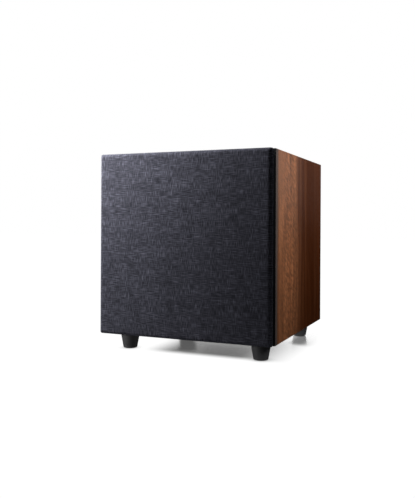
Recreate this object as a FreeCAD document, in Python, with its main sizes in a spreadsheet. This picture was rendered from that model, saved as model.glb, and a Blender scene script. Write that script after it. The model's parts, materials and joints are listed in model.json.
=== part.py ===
import FreeCAD, Part
import Sketcher
import math
import os

# Powered subwoofer with a cloth-covered pull-off grille, in millimetres.
# Frame: +Z up, -Y towards the listener (the grille), +X to the listener's right.
# Origin on the floor, under the centre of the cabinet.

V = FreeCAD.Vector
doc = FreeCAD.newDocument("Subwoofer")
sheet = doc.addObject("Spreadsheet::Sheet", "Params")


class Q:
    """A length that knows both its number and the sheet expression behind it."""

    def __init__(self, value, text):
        self.value = float(value)
        self.text = text

    def __add__(self, o):
        o = q(o)
        return Q(self.value + o.value, "(%s + %s)" % (self.text, o.text))

    def __radd__(self, o):
        return q(o) + self

    def __sub__(self, o):
        o = q(o)
        return Q(self.value - o.value, "(%s - %s)" % (self.text, o.text))

    def __rsub__(self, o):
        return q(o) - self

    def __mul__(self, o):
        o = q(o)
        return Q(self.value * o.value, "(%s * %s)" % (self.text, o.text))

    def __rmul__(self, o):
        return q(o) * self

    def __truediv__(self, o):
        o = q(o)
        return Q(self.value / o.value, "(%s / %s)" % (self.text, o.text))

    def __neg__(self):
        return Q(-self.value, "(0 - %s)" % self.text)


def q(x):
    return x if isinstance(x, Q) else Q(x, "(%.8g)" % x if x < 0 else "%.8g" % x)


def val(x):
    return q(x).value


DIMS = [
    # cabinet
    ("cab_width", 350.0), ("cab_height", 350.0), ("cab_depth", 343.5), ("cab_shift", 2.75),
    ("panel_thick", 15.0), ("baffle_thick", 12.0), ("doubler_thick", 15.0),
    ("edge_round", 1.2), ("seam_chamfer", 0.6),
    ("brace_thick", 15.0), ("brace_front", -38.0), ("brace_window", 230.0), ("brace_corner", 30.0),
    ("lining_thick", 18.0),
    # feet
    ("foot_height", 33.0), ("foot_top_rad", 19.6), ("foot_sole_rad", 14.0),
    ("foot_span_x", 275.0), ("foot_span_y", 272.0),
    ("pad_rad", 10.95), ("pad_height", 4.0),
    # port
    ("port_x", 0.0), ("port_y", 40.0), ("port_rad", 37.5), ("port_wall", 3.0),
    ("port_length", 150.0), ("port_flare", 12.0), ("port_flange", 52.5),
    # woofer
    ("woofer_z", 208.35), ("frame_rad", 131.0), ("frame_flange", 4.5),
    ("cutout_rad", 118.5), ("recess_rad", 131.6), ("recess_depth", 5.5),
    ("screw_circle", 124.5), ("cone_rad", 88.5), ("dome_rad", 44.0),
    ("former_rad", 25.3), ("former_wall", 0.3), ("winding_thick", 1.2),
    ("spider_rad", 73.5), ("pole_rad", 24.3), ("gap_rad", 27.3),
    ("magnet_rad", 68.0), ("magnet_thick", 20.0), ("plate_rad", 62.0), ("plate_thick", 8.0),
    # grille
    ("grille_width", 348.8), ("grille_height", 348.3), ("grille_z", 208.35),
    ("grille_front", 24.8), ("grille_step", 12.0), ("grille_inset", 7.0),
    ("grille_open", 139.0), ("grille_round", 7.5), ("cloth_thick", 0.8),
    ("peg_span", 300.0), ("peg_rad", 4.0), ("peg_length", 9.0), ("peg_clear", 0.05),
    ("socket_rad", 6.5), ("socket_flange", 8.5), ("socket_depth", 10.8),
    # amplifier
    ("amp_width", 210.0), ("amp_height", 250.0), ("amp_z", 218.0),
    ("amp_thick", 2.5), ("gasket_thick", 1.0), ("amp_border", 10.0), ("amp_screw_inset", 5.5),
    ("knob_rad", 11.0), ("knob_height", 14.0), ("shaft_rad", 3.0), ("shaft_clear", 0.05),
    ("volume_x", -2.0), ("crossover_x", -56.0), ("dial_z", 312.0),
    ("jack_rad", 4.15), ("jack_high_x", 74.0), ("jack_low_x", 50.0), ("jack_z", 312.0),
    ("switch_z", 274.0), ("phase_x", 58.0), ("mode_x", 8.0), ("led_x", -56.0),
    ("sink_width", 150.0), ("sink_height", 80.0), ("sink_z", 208.0), ("fin_tall", 12.0),
    ("inlet_x", 48.0), ("inlet_z", 128.0), ("rocker_x", -56.0), ("rocker_z", 128.0),
    ("board_low_x", 6.0), ("board_high_x", 92.0), ("board_low_z", 150.0), ("board_high_z", 328.0),
    ("board_back", 23.5), ("board_thick", 1.6),
    ("toroid_x", -47.0), ("toroid_z", 205.0), ("toroid_rad", 44.0), ("toroid_bore", 16.0),
    ("toroid_height", 40.0),
]


class Dims:
    pass


D = Dims()
for row, (alias, number) in enumerate(DIMS, start=1):
    sheet.set("A%d" % row, alias)
    sheet.set("B%d" % row, "%g" % number)
    sheet.setAlias("B%d" % row, alias)
    setattr(D, alias, Q(number, "Params." + alias))
doc.recompute()

NODES = []


# ---------------------------------------------------------------- helpers

def keep(obj, label):
    """Give a finished sub-part its own name and put it on the output list."""
    obj.Label = label
    NODES.append(obj)
    return obj


def place(obj, x=0, y=0, z=0, axis=None, angle=0.0):
    rot = FreeCAD.Rotation(V(*axis), angle) if axis else FreeCAD.Rotation()
    obj.Placement = FreeCAD.Placement(V(val(x), val(y), val(z)), rot)
    for key, size in (("x", x), ("y", y), ("z", z)):
        if isinstance(size, Q):
            obj.setExpression("Placement.Base." + key, size.text)
    return obj


FORWARD = dict(axis=(1, 0, 0), angle=90.0)     # local +Z points to -Y, out of the front
REARWARD = dict(axis=(1, 0, 0), angle=-90.0)   # local +Z points to +Y, out of the back


def new_body(name):
    body = doc.addObject("PartDesign::Body", name)
    if "AllowCompound" in body.PropertiesList:
        body.AllowCompound = True
    return body


def origin_plane(body, role):
    for feature in body.Origin.OriginFeatures:
        if feature.Role == role:
            return feature
    raise ValueError(role)


def sketch(body, name, role, loops=(), circles=(), offset=0):
    """Closed outlines whose corners, radii and centres are all tied to the sheet.

    A loop is a list of corners (x, y) or (x, y, radius, turn); the second form
    makes the edge that leaves the corner an arc, turn +1 counter-clockwise.
    """
    sk = body.newObject("Sketcher::SketchObject", name)
    sk.AttachmentSupport = [(origin_plane(body, role), "")]
    sk.MapMode = "FlatFace"
    if isinstance(offset, Q) or offset:
        sk.AttachmentOffset = FreeCAD.Placement(V(0, 0, val(offset)), FreeCAD.Rotation())
        if isinstance(offset, Q):
            sk.setExpression("AttachmentOffset.Base.z", offset.text)
    geos, cons, ties = [], [], []

    def fix(geo, pos, x, y):
        for size, kind, axis in ((x, "DistanceX", -2), (y, "DistanceY", -1)):
            if not isinstance(size, Q) and abs(size) < 1e-12:
                cons.append(Sketcher.Constraint("PointOnObject", geo, pos, axis))
                continue
            cons.append(Sketcher.Constraint(kind, -1, 1, geo, pos, val(size)))
            if isinstance(size, Q):
                ties.append((len(cons) - 1, size.text))

    for loop in loops:
        first = len(geos)
        ends = []
        for i, corner in enumerate(loop):
            nxt = loop[(i + 1) % len(loop)]
            x0, y0, x1, y1 = val(corner[0]), val(corner[1]), val(nxt[0]), val(nxt[1])
            if len(corner) > 2:
                rad, turn = val(corner[2]), corner[3]
                dx, dy = x1 - x0, y1 - y0
                dist = math.hypot(dx, dy)
                high = math.sqrt(max(rad * rad - dist * dist / 4.0, 0.0)) * turn
                cx = (x0 + x1) / 2.0 - dy / dist * high
                cy = (y0 + y1) / 2.0 + dx / dist * high
                a0 = math.atan2(y0 - cy, x0 - cx)
                a1 = math.atan2(y1 - cy, x1 - cx)
                circle = Part.Circle(V(cx, cy, 0), V(0, 0, 1), rad)
                if turn > 0:
                    geos.append(Part.ArcOfCircle(circle, a0, a1 if a1 > a0 else a1 + 2 * math.pi))
                    ends.append((1, 2))
                else:
                    geos.append(Part.ArcOfCircle(circle, a1, a0 if a0 > a1 else a0 + 2 * math.pi))
                    ends.append((2, 1))
            else:
                geos.append(Part.LineSegment(V(x0, y0, 0), V(x1, y1, 0)))
                ends.append((1, 2))
        for i, corner in enumerate(loop):
            j = (i + 1) % len(loop)
            cons.append(Sketcher.Constraint("Coincident", first + i, ends[i][1], first + j, ends[j][0]))
        for i, corner in enumerate(loop):
            fix(first + i, ends[i][0], corner[0], corner[1])
            if len(corner) > 2:
                cons.append(Sketcher.Constraint("Radius", first + i, val(corner[2])))
                if isinstance(corner[2], Q):
                    ties.append((len(cons) - 1, corner[2].text))
    for x, y, rad in circles:
        geos.append(Part.Circle(V(val(x), val(y), 0), V(0, 0, 1), val(rad)))
        fix(len(geos) - 1, 3, x, y)
        cons.append(Sketcher.Constraint("Radius", len(geos) - 1, val(rad)))
        if isinstance(rad, Q):
            ties.append((len(cons) - 1, rad.text))
    sk.addGeometry(geos, False)
    sk.addConstraint(cons)
    for index, text in ties:
        sk.setExpression("Constraints[%d]" % index, text)
    return sk


def pad(body, sk, length, back=False, both=False):
    feature = body.newObject("PartDesign::Pad", body.Name + "_pad")
    feature.Profile = sk
    feature.Length = val(length)
    if isinstance(length, Q):
        feature.setExpression("Length", length.text)
    feature.Reversed = back
    if both:
        feature.SideType = "Symmetric"
    doc.recompute()
    return feature


def pocket(body, sk, length, up=False):
    """Cut towards the sketch's -normal, or +normal with up; it must remove material."""
    before = body.Shape.Volume
    feature = body.newObject("PartDesign::Pocket", body.Name + "_cut")
    feature.Profile = sk
    feature.Length = val(length)
    if isinstance(length, Q):
        feature.setExpression("Length", length.text)
    feature.Reversed = up
    doc.recompute()
    if not body.Shape.Volume < before - 1e-3:
        raise RuntimeError("pocket removed nothing from " + body.Name)
    return feature


def revolve(name, loop):
    body = new_body(name)
    sk = sketch(body, name + "_profile", "XZ_Plane", [loop])
    feature = body.newObject("PartDesign::Revolution", name + "_turn")
    feature.Profile = sk
    feature.ReferenceAxis = (sk, ["V_Axis"])
    feature.Angle = 360.0
    doc.recompute()
    return body, sk, feature


def polar(body, feature, sk, count):
    """Repeat a feature evenly about the body's own Z axis."""
    before = body.Shape.Volume
    pattern = body.newObject("PartDesign::PolarPattern", body.Name + "_ring")
    pattern.Originals = [feature]
    pattern.Axis = (origin_axis(body, "Z_Axis"), [""])
    pattern.Angle = 360.0
    pattern.Occurrences = count
    body.Tip = pattern
    doc.recompute()
    if abs(body.Shape.Volume - before) < 1e-3:
        raise RuntimeError("pattern changed nothing on " + body.Name)
    return pattern


def origin_axis(body, role):
    return origin_plane(body, role)


def dress(body, kind, size, test):
    """Fillet or chamfer the edges of the body whose points all pass a test."""
    doc.recompute()
    tip = body.Tip
    names = []
    for i, edge in enumerate(tip.Shape.Edges, start=1):
        points = edge.discretize(3)
        if all(test(p) for p in points):
            names.append("Edge%d" % i)
    if not names:
        raise RuntimeError("no edges to dress on " + body.Name)
    before = body.Shape.Volume
    feature = body.newObject("PartDesign::" + kind, body.Name + "_" + kind.lower())
    feature.Base = (tip, names)
    prop = "Radius" if kind == "Fillet" else "Size"
    setattr(feature, prop, val(size))
    if isinstance(size, Q):
        feature.setExpression(prop, size.text)
    doc.recompute()
    if abs(body.Shape.Volume - before) < 1e-6:
        raise RuntimeError("dressing changed nothing on " + body.Name)
    return feature


def box(name, x0, x1, y0, y1, z0, z1):
    obj = doc.addObject("Part::Box", name)
    for prop, low, high in (("Length", x0, x1), ("Width", y0, y1), ("Height", z0, z1)):
        size = q(high) - q(low)
        setattr(obj, prop, size.value)
        if "Params" in size.text:
            obj.setExpression(prop, size.text)
    return place(obj, x0, y0, z0)


def cylinder(name, x, y, z, rad, length, **turn):
    obj = doc.addObject("Part::Cylinder", name)
    for prop, size in (("Radius", rad), ("Height", length)):
        setattr(obj, prop, val(size))
        if isinstance(size, Q):
            obj.setExpression(prop, size.text)
    return place(obj, x, y, z, **turn)


def cut(name, base, tools):
    if len(tools) > 1:
        tool = fuse(name + "_tools", tools)
    else:
        tool = tools[0]
    obj = doc.addObject("Part::Cut", name)
    obj.Base = base
    obj.Tool = tool
    return obj


def fuse(name, shapes):
    obj = doc.addObject("Part::MultiFuse", name)
    obj.Shapes = shapes
    obj.Refine = True
    return obj


def group(name, members):
    obj = doc.addObject("Part::Compound", name)
    obj.Links = members
    return obj


def copies(name, master, spots, **turn):
    """The same piece at several places, kept together as one group of solids."""
    links = []
    for i, spot in enumerate(spots):
        link = doc.addObject("App::Link", "%s_%d" % (name, i + 1))
        link.LinkedObject = master
        link.LinkTransform = False
        place(link, spot[0], spot[1], spot[2], **turn)
        links.append(link)
    return group(name, links)


def rect(x0, x1, y0, y1):
    return [(x0, y0), (x1, y0), (x1, y1), (x0, y1)]


def round_rect(x0, x1, y0, y1, r):
    return [(x0 + r, y0), (x1 - r, y0, r, 1), (x1, y0 + r), (x1, y1 - r, r, 1),
            (x1 - r, y1), (x0 + r, y1, r, 1), (x0, y1 - r), (x0, y0 + r, r, 1)]


def cap_radius(rad, rise):
    """Radius of the sphere whose cap has this rim radius and rise."""
    rad, rise = q(rad), q(rise)
    return (rad * rad + rise * rise) / (rise * 2)


# ---------------------------------------------------------------- shared positions

HALF = D.cab_width / 2
FLOOR = D.foot_height                       # underside of the cabinet
ROOF = D.foot_height + D.cab_height         # top of the cabinet
FRONT = D.cab_shift - D.cab_depth / 2      # face of the front baffle
BACK = D.cab_shift + D.cab_depth / 2       # outer face of the rear panel
SHELL = FRONT + D.baffle_thick              # where the wrapped shell meets the baffle
SHELL_DEPTH = D.cab_depth - D.baffle_thick
IN_X = HALF - D.panel_thick
IN_LOW = FLOOR + D.panel_thick
IN_HIGH = ROOF - D.panel_thick
ER = D.edge_round
EM = D.edge_round * 0.29289322              # inset of the mitre on a rounded corner
DIAG = math.sqrt(0.5)

PEGS = [(sx * D.peg_span / 2, D.grille_z + sz * D.peg_span / 2) for sx in (-1, 1) for sz in (-1, 1)]
FEET = [(sx * D.foot_span_x / 2, sy * D.foot_span_y / 2) for sy in (-1, 1) for sx in (-1, 1)]
SCREW_DIRECTIONS = [math.radians(22.5 + 45.0 * k) for k in range(8)]
WOOFER_SCREWS = [(D.screw_circle * math.cos(a), D.screw_circle * math.sin(a)) for a in SCREW_DIRECTIONS]

AMP_X = D.amp_width / 2 - D.amp_screw_inset
AMP_Z = D.amp_height / 2 - D.amp_screw_inset
AMP_SCREWS = [(sx * AMP_X, D.amp_z + sz * AMP_Z) for sx in (-1, 1) for sz in (-1, 1)]
AMP_SCREWS += [(sx * AMP_X, D.amp_z + sz * AMP_Z / 3) for sx in (-1, 1) for sz in (-1, 1)]
AMP_SCREWS += [(q(0), D.amp_z + sz * AMP_Z) for sz in (-1, 1)]
AMP_IN = BACK + D.gasket_thick              # inner face of the amplifier plate
AMP_OUT = AMP_IN + D.amp_thick              # outer face of the amplifier plate


# ---------------------------------------------------------------- cabinet shell
# Four 15 mm boards folded on 45-degree mitres, veneer-wrapped, with the front
# baffle laid over their ends and a shallow V at the seam.

def shell_board(name, loop, seam):
    body = new_body(name)
    sk = sketch(body, name + "_outline", "XZ_Plane", [loop])
    pad(body, sk, SHELL_DEPTH, back=True)
    dress(body, "Chamfer", D.seam_chamfer, lambda p: abs(p.y) < 1e-6 and seam(p))
    place(body, 0, SHELL, 0)
    return body


half, top_z, low_z, er = HALF.value, ROOF.value, FLOOR.value, ER.value
for side, name in ((-1, "left_side_panel"), (1, "right_side_panel")):
    outline = [
        (side * IN_X, IN_LOW), (side * (HALF - EM), FLOOR + EM, ER, side), (side * HALF, FLOOR + ER),
        (side * HALF, ROOF - ER, ER, side), (side * (HALF - EM), ROOF - EM), (side * IN_X, IN_HIGH)]
    keep(shell_board(name, outline,
                     lambda p, s=side: abs(p.x - s * half) < 1e-4), name)

top_loop = [(-IN_X, IN_HIGH), (IN_X, IN_HIGH), (HALF - EM, ROOF - EM, ER, 1), (HALF - ER, ROOF),
            (-(HALF - ER), ROOF, ER, 1), (-(HALF - EM), ROOF - EM)]
keep(shell_board("top_panel", top_loop, lambda p: abs(p.z - top_z) < 1e-4), "top_panel")

low_loop = [(-IN_X, IN_LOW), (IN_X, IN_LOW), (HALF - EM, FLOOR + EM, ER, -1), (HALF - ER, FLOOR),
            (-(HALF - ER), FLOOR, ER, -1), (-(HALF - EM), FLOOR + EM)]
bottom = shell_board("bottom_panel", low_loop, lambda p: abs(p.z - low_z) < 1e-4)
# opening for the port tube, a flush rebate for its flange, and blind pilot
# holes for the foot screws; the body sits at y = SHELL, so y is measured from there
PORT_OUT = D.port_rad + D.port_wall
sk = sketch(bottom, "port_hole", "XY_Plane", [], [
    (D.port_x, D.port_y - SHELL, PORT_OUT + D.port_flare - D.port_wall + 0.2)])
pocket(bottom, sk, IN_LOW + 1, up=True)
sk = sketch(bottom, "port_rebate", "XY_Plane", [], [(D.port_x, D.port_y - SHELL, D.port_flange + 0.3)])
pocket(bottom, sk, FLOOR + 3.0, up=True)
sk = sketch(bottom, "foot_pilots", "XY_Plane", [], [(x, y - SHELL, 2.05) for x, y in FEET])
pocket(bottom, sk, FLOOR + 12.0, up=True)
keep(bottom, "bottom_panel")

# rear board, inset between the four, with the amplifier cut-out
rear = new_body("rear_panel")
sk = sketch(rear, "rear_outline", "XZ_Plane", [rect(-IN_X, IN_X, IN_LOW, IN_HIGH)])
pad(rear, sk, D.panel_thick, back=True)
CUT_X = D.amp_width / 2 - D.amp_border
CUT_Z = D.amp_height / 2 - D.amp_border
sk = sketch(rear, "amp_cutout", "XZ_Plane", [round_rect(-CUT_X, CUT_X, D.amp_z - CUT_Z, D.amp_z + CUT_Z, q(3.0))])
pocket(rear, sk, D.panel_thick + 1)
sk = sketch(rear, "amp_pilots", "XZ_Plane", [], [(x, z, 2.05) for x, z in AMP_SCREWS], offset=-(D.panel_thick))
pocket(rear, sk, 14.0, up=True)
place(rear, 0, BACK - D.panel_thick, 0)
keep(rear, "rear_panel")

# outer front baffle: its 12 mm edge shows all round, in front of the seam
baffle = new_body("front_baffle")
sk = sketch(baffle, "baffle_outline", "XZ_Plane", [round_rect(-HALF, HALF, FLOOR, ROOF, ER)])
pad(baffle, sk, D.baffle_thick, back=True)
dress(baffle, "Chamfer", D.seam_chamfer, lambda p: abs(p.y - D.baffle_thick.value) < 1e-6)
dress(baffle, "Chamfer", q(0.5), lambda p: abs(p.y) < 1e-6)
WZ = D.woofer_z
sk = sketch(baffle, "woofer_hole", "XZ_Plane", [], [(0, WZ, D.cutout_rad)])
pocket(baffle, sk, D.baffle_thick + 1)
sk = sketch(baffle, "woofer_rebate", "XZ_Plane", [], [(0, WZ, D.recess_rad)])
pocket(baffle, sk, D.recess_depth)
sk = sketch(baffle, "woofer_pilots", "XZ_Plane", [], [(x, WZ + z, 2.25) for x, z in WOOFER_SCREWS])
pocket(baffle, sk, D.baffle_thick + 1)
sk = sketch(baffle, "socket_rebates", "XZ_Plane", [], [(x, z, D.socket_flange + 0.1) for x, z in PEGS])
pocket(baffle, sk, 1.0)
sk = sketch(baffle, "socket_holes", "XZ_Plane", [], [(x, z, D.socket_rad + 0.05) for x, z in PEGS])
pocket(baffle, sk, D.socket_depth + 0.2)
place(baffle, 0, FRONT, 0)
keep(baffle, "front_baffle")

# doubler board glued behind it, inside the shell, bevelled at the back of the opening
doubler = new_body("inner_baffle")
sk = sketch(doubler, "doubler_outline", "XZ_Plane", [rect(-IN_X, IN_X, IN_LOW, IN_HIGH)])
pad(doubler, sk, D.doubler_thick, back=True)
sk = sketch(doubler, "doubler_hole", "XZ_Plane", [], [(0, WZ, D.cutout_rad)])
pocket(doubler, sk, D.doubler_thick + 1)
sk = sketch(doubler, "doubler_pilots", "XZ_Plane", [], [(x, WZ + z, 2.25) for x, z in WOOFER_SCREWS])
pocket(doubler, sk, 13.0)
dt, wz = D.doubler_thick.value, WZ.value
dress(doubler, "Chamfer", q(9.0), lambda p: abs(p.y - dt) < 1e-6 and math.hypot(p.x, p.z - wz) < 120.0)
place(doubler, 0, SHELL, 0)
keep(doubler, "inner_baffle")

# window brace across the middle of the box
brace = new_body("window_brace")
sk = sketch(brace, "brace_outline", "XZ_Plane", [rect(-IN_X, IN_X, IN_LOW, IN_HIGH)])
pad(brace, sk, D.brace_thick, back=True)
BW = D.brace_window / 2
sk = sketch(brace, "brace_window", "XZ_Plane", [round_rect(-BW, BW, WZ - BW, WZ + BW, D.brace_corner)])
pocket(brace, sk, D.brace_thick + 1)
place(brace, 0, D.brace_front, 0)
keep(brace, "window_brace")

# fibre lining on both sides and under the top, behind the brace
LIN_Y0 = D.brace_front + D.brace_thick + 4
LIN_Y1 = BACK - D.panel_thick - 4
keep(group("lining", [
    box("lining_left", -IN_X + 0.5, -IN_X + 0.5 + D.lining_thick, LIN_Y0, LIN_Y1, IN_LOW + 12, IN_HIGH - 4),
    box("lining_right", IN_X - 0.5 - D.lining_thick, IN_X - 0.5, LIN_Y0, LIN_Y1, IN_LOW + 12, IN_HIGH - 4),
    box("lining_top", -IN_X + D.lining_thick + 6, IN_X - D.lining_thick - 6, LIN_Y0, LIN_Y1,
        IN_HIGH - 0.5 - D.lining_thick, IN_HIGH - 0.5)]), "damping_lining")

# flared port tube in one moulding, firing down, flange flush with the underside
PR, PW, PF = D.port_rad, D.port_wall, D.port_flare
port, sk, _ = revolve("port", [
    (D.port_flange, 0), (D.port_flange, 3.0), (PR + PF, 3.0, PF - PW, -1), (PR + PW, PF),
    (PR + PW, D.port_length), (PR + 0.8, D.port_length), (PR, D.port_length - 3), (PR, PF, PF, 1),
    (PR + PF, 0)])
place(port, D.port_x, D.port_y, FLOOR)
keep(port, "port_tube")

# ---------------------------------------------------------------- feet
# tapered moulded feet, screwed up into the bottom board through a counterbore
# that a rubber sole pad closes
foot, sk, _ = revolve("foot_master", [
    (D.pad_rad + 0.05, 0.8), (D.foot_sole_rad - 1.6, 0.8, 1.7, 1), (D.foot_sole_rad, 2.3),
    (D.foot_top_rad, D.foot_height), (2.2, D.foot_height), (2.2, 8.0), (D.pad_rad + 0.05, 8.0)])
keep(copies("feet_group", foot, [(x, y, 0) for x, y in FEET]), "feet")
sole, sk, _ = revolve("pad_master", [
    (0, 0), (D.pad_rad - 0.8, 0), (D.pad_rad, 0.8), (D.pad_rad, D.pad_height), (0, D.pad_height)])
keep(copies("pad_group", sole, [(x, y, 0) for x, y in FEET]), "foot_pads")
foot_screw, sk, _ = revolve("foot_screw_master", [
    (0, 5.0), (2.5, 5.0), (5.0, 6.8), (5.0, 8.0), (2.0, 8.0), (2.0, 42.0), (0, 44.5)])
keep(copies("foot_screw_group", foot_screw, [(x, y, 0) for x, y in FEET]), "foot_screws")

# ---------------------------------------------------------------- grille sockets
socket, sk, _ = revolve("socket_master", [
    (D.peg_rad + D.peg_clear, 0), (D.socket_flange, 0), (D.socket_flange, -1.0), (D.socket_rad, -1.0),
    (D.socket_rad, -D.socket_depth), (0, -D.socket_depth), (0, -(D.peg_length + 0.6)),
    (D.peg_rad + D.peg_clear, -(D.peg_length + 0.6))])
keep(copies("socket_group", socket, [(x, FRONT, z) for x, z in PEGS], **FORWARD), "grille_sockets")

# ---------------------------------------------------------------- woofer
# Local +Z points out of the front, zero on the face of the baffle.

FF = D.frame_flange
FR = D.frame_rad
basket, sk, _ = revolve("basket", [
    (FR - 1.0, 0), (117.5, 0), (117.5, -1.5), (106.0, -1.5), (106.0, -4.0), (112.5, -4.0),
    (74.5, -50.0), (66.0, -50.0), (61.0, -71.5), (29.0, -71.5), (29.0, -74.0), (64.0, -74.0),
    (69.0, -52.5), (77.5, -51.5), (117.0, -FF), (FR, -FF), (FR, -1.0)])
win = sketch(basket, "basket_window", "XZ_Plane", [rect(60.0, 125.0, -45.0, -9.5)])
feature = basket.newObject("PartDesign::Groove", "basket_window_cut")
feature.Profile = win
feature.ReferenceAxis = (win, ["V_Axis"])
feature.Angle = 42.0
feature.Midplane = True
doc.recompute()
win.AttachmentOffset = FreeCAD.Placement(V(0, 0, 0), FreeCAD.Rotation())
polar(basket, feature, win, 6)
sk = sketch(basket, "basket_holes", "XY_Plane", [], [(x, z, 2.7) for x, z in WOOFER_SCREWS])
pocket(basket, sk, FF + 0.5)
place(basket, 0, FRONT, WZ, **FORWARD)
keep(basket, "woofer_basket")

gasket, sk, _ = revolve("woofer_gasket_body", [
    (119.0, -FF), (119.0, -D.recess_depth), (FR - 0.5, -D.recess_depth), (FR - 0.5, -FF)])
sk = sketch(gasket, "woofer_gasket_holes", "XY_Plane", [], [(x, z, 2.7) for x, z in WOOFER_SCREWS])
pocket(gasket, sk, D.recess_depth + 1)
place(gasket, 0, FRONT, WZ, **FORWARD)
keep(gasket, "woofer_gasket")

screw, sk, _ = revolve("screw_master", [
    (0, 2.6), (1.6, 2.6), (3.3, 2.0), (4.2, 0.7), (4.2, 0), (2.2, 0), (2.2, -22.0), (0, -24.0)])
CROSS = [(-0.5, -2.2), (0.5, -2.2), (0.5, -0.5), (2.2, -0.5), (2.2, 0.5), (0.5, 0.5),
         (0.5, 2.2), (-0.5, 2.2), (-0.5, 0.5), (-2.2, 0.5), (-2.2, -0.5), (-0.5, -0.5)]
sk = sketch(screw, "screw_cross", "XY_Plane", [CROSS], offset=2.7)
pocket(screw, sk, 1.5)
keep(copies("woofer_screw_group", screw,
            [(x, FRONT, WZ - z) for x, z in WOOFER_SCREWS], **FORWARD), "woofer_screws")

CR = D.cone_rad
surround, sk, _ = revolve("surround_body", [
    (117.2, -1.5), (117.2, -0.5), (108.2, -0.5, 10.15, 1), (CR - 0.5, -0.5), (CR - 7.0, -0.5),
    (CR - 7.0, -1.5), (CR + 0.5, -1.5), (CR + 0.5, -0.5, 9.15, -1), (107.2, -0.5), (107.2, -1.5)])
place(surround, 0, FRONT, WZ, **FORWARD)
keep(surround, "surround")

FO = D.former_rad
cone, sk, _ = revolve("cone_body", [
    (CR, -1.5), (CR - 7.0, -1.5), (FO + 1.0, -40.0), (FO, -40.0), (FO, -45.0), (FO + 1.2, -45.0),
    (FO + 2.3, -41.0), (CR - 5.6, -2.7), (CR, -2.7)])
place(cone, 0, FRONT, WZ, **FORWARD)
keep(cone, "cone")

DR = D.dome_rad
dome, sk, _ = revolve("dome_body", [
    (DR, -27.2, cap_radius(DR, 13.8), 1), (0, -13.4), (0, -14.4, cap_radius(DR - 1.2, 13.2), -1),
    (DR - 1.2, -27.6)])
place(dome, 0, FRONT, WZ, **FORWARD)
keep(dome, "dust_cap")

# corrugated suspension disc between the voice coil former and the basket ledge
SR = D.spider_rad
folds = 9
inner, outer = FO + 5.0, SR - 8.0
upper, lower = [], []
for i in range(folds + 1):
    at = inner + (outer - inner) * (i / folds)
    rise = 0.0 if i in (0, folds) else (2.0 if i % 2 else -2.0)
    upper.append((at, -49.2 + rise))
    lower.append((at, -50.0 + rise))
spider, sk, _ = revolve("spider_body", [(FO, -49.2)] + upper + [(SR, -49.2), (SR, -50.0)]
                        + lower[::-1] + [(FO, -50.0)])
place(spider, 0, FRONT, WZ, **FORWARD)
keep(spider, "spider")

former, sk, _ = revolve("former_body", rect(FO - D.former_wall, FO, -88.5, -40.5))
place(former, 0, FRONT, WZ, **FORWARD)
keep(former, "voice_coil_former")
winding, sk, _ = revolve("winding_body", rect(FO, FO + D.winding_thick, -88.0, -68.0))
place(winding, 0, FRONT, WZ, **FORWARD)
keep(winding, "voice_coil_winding")

PT, MT = D.plate_thick, D.magnet_thick
top_plate, sk, _ = revolve("top_plate_body", rect(D.gap_rad, D.plate_rad, -74.0 - PT, q(-74.0)))
place(top_plate, 0, FRONT, WZ, **FORWARD)
keep(top_plate, "top_plate")
magnet, sk, _ = revolve("magnet_body", [
    (33.0, -74.0 - PT), (33.0, -74.0 - PT - MT), (D.magnet_rad - 1.5, -74.0 - PT - MT),
    (D.magnet_rad, -72.5 - PT - MT), (D.magnet_rad, -75.5 - PT), (D.magnet_rad - 1.5, -74.0 - PT)])
place(magnet, 0, FRONT, WZ, **FORWARD)
keep(magnet, "magnet")
yoke, sk, _ = revolve("yoke_body", [
    (8.0, -74.5), (D.pole_rad, -74.5), (D.pole_rad, -74.0 - PT - MT), (D.plate_rad, -74.0 - PT - MT),
    (D.plate_rad, -75.5 - PT - MT - PT + 1.5), (D.plate_rad - 1.5, -75.5 - PT - MT - PT + 0.0 + 1.5 - 1.5),
    (8.0, -75.5 - PT - MT - PT)])
place(yoke, 0, FRONT, WZ, **FORWARD)
keep(yoke, "pole_yoke")

# terminal strip on the spoke that points to +X, laid on the slanted basket wall
lean = math.degrees(math.atan2(-47.0, 40.0))
along = V(40.0, -47.0, 0) / math.hypot(40.0, 47.0)
out = V(47.0, 40.0, 0) / math.hypot(40.0, 47.0)


def on_wall(name, a0, a1, n0, n1, z0, z1):
    obj = doc.addObject("Part::Box", name)
    obj.Length, obj.Width, obj.Height = a1 - a0, n1 - n0, z1 - z0
    base = along * a0 + out * n0
    return place(obj, 92.0 + base.x, FRONT + 33.9 + base.y, WZ + z0, axis=(0, 0, 1), angle=lean)


keep(fuse("terminal_fuse", [
    on_wall("terminal_strip", -7.0, 7.0, 0.6, 3.6, -21.0, 21.0),
    on_wall("terminal_tab_low", -3.2, 3.2, 3.6, 11.0, -13.4, -12.6),
    on_wall("terminal_tab_high", -3.2, 3.2, 3.6, 11.0, 12.6, 13.4)]), "woofer_terminals")


# ---------------------------------------------------------------- leads

def lead(name, points, rad):
    """A round flexible lead through a run of points."""
    curve = Part.BSplineCurve()
    curve.interpolate([V(*p) for p in points])
    path = Part.Wire([curve.toShape()])
    start = curve.value(curve.FirstParameter)
    heading = curve.tangent(curve.FirstParameter)[0]
    ring = Part.Wire([Part.Circle(start, heading, rad).toShape()])
    solid = path.makePipeShell([ring], True, False)
    if not isinstance(solid, Part.Solid):
        solid = Part.Solid(solid) if solid.ShapeType == "Shell" else solid.Solids[0]
    obj = doc.addObject("Part::Feature", name)
    obj.Shape = solid
    return obj


yf, yin, wzv = FRONT.value, AMP_IN.value, WZ.value
tinsel = []
for sgn, name in ((-1, "tinsel_low"), (1, "tinsel_high")):
    tinsel.append(lead(name, [
        (90.5, yf + 35.0, wzv + sgn * 17.8), (82.0, yf + 40.0, wzv + sgn * 17.4),
        (66.0, yf + 38.5, wzv + sgn * 13.5), (49.0, yf + 27.6, wzv + sgn * 10.0)], 0.7))
keep(group("tinsel_group", tinsel), "tinsel_leads")

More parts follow.
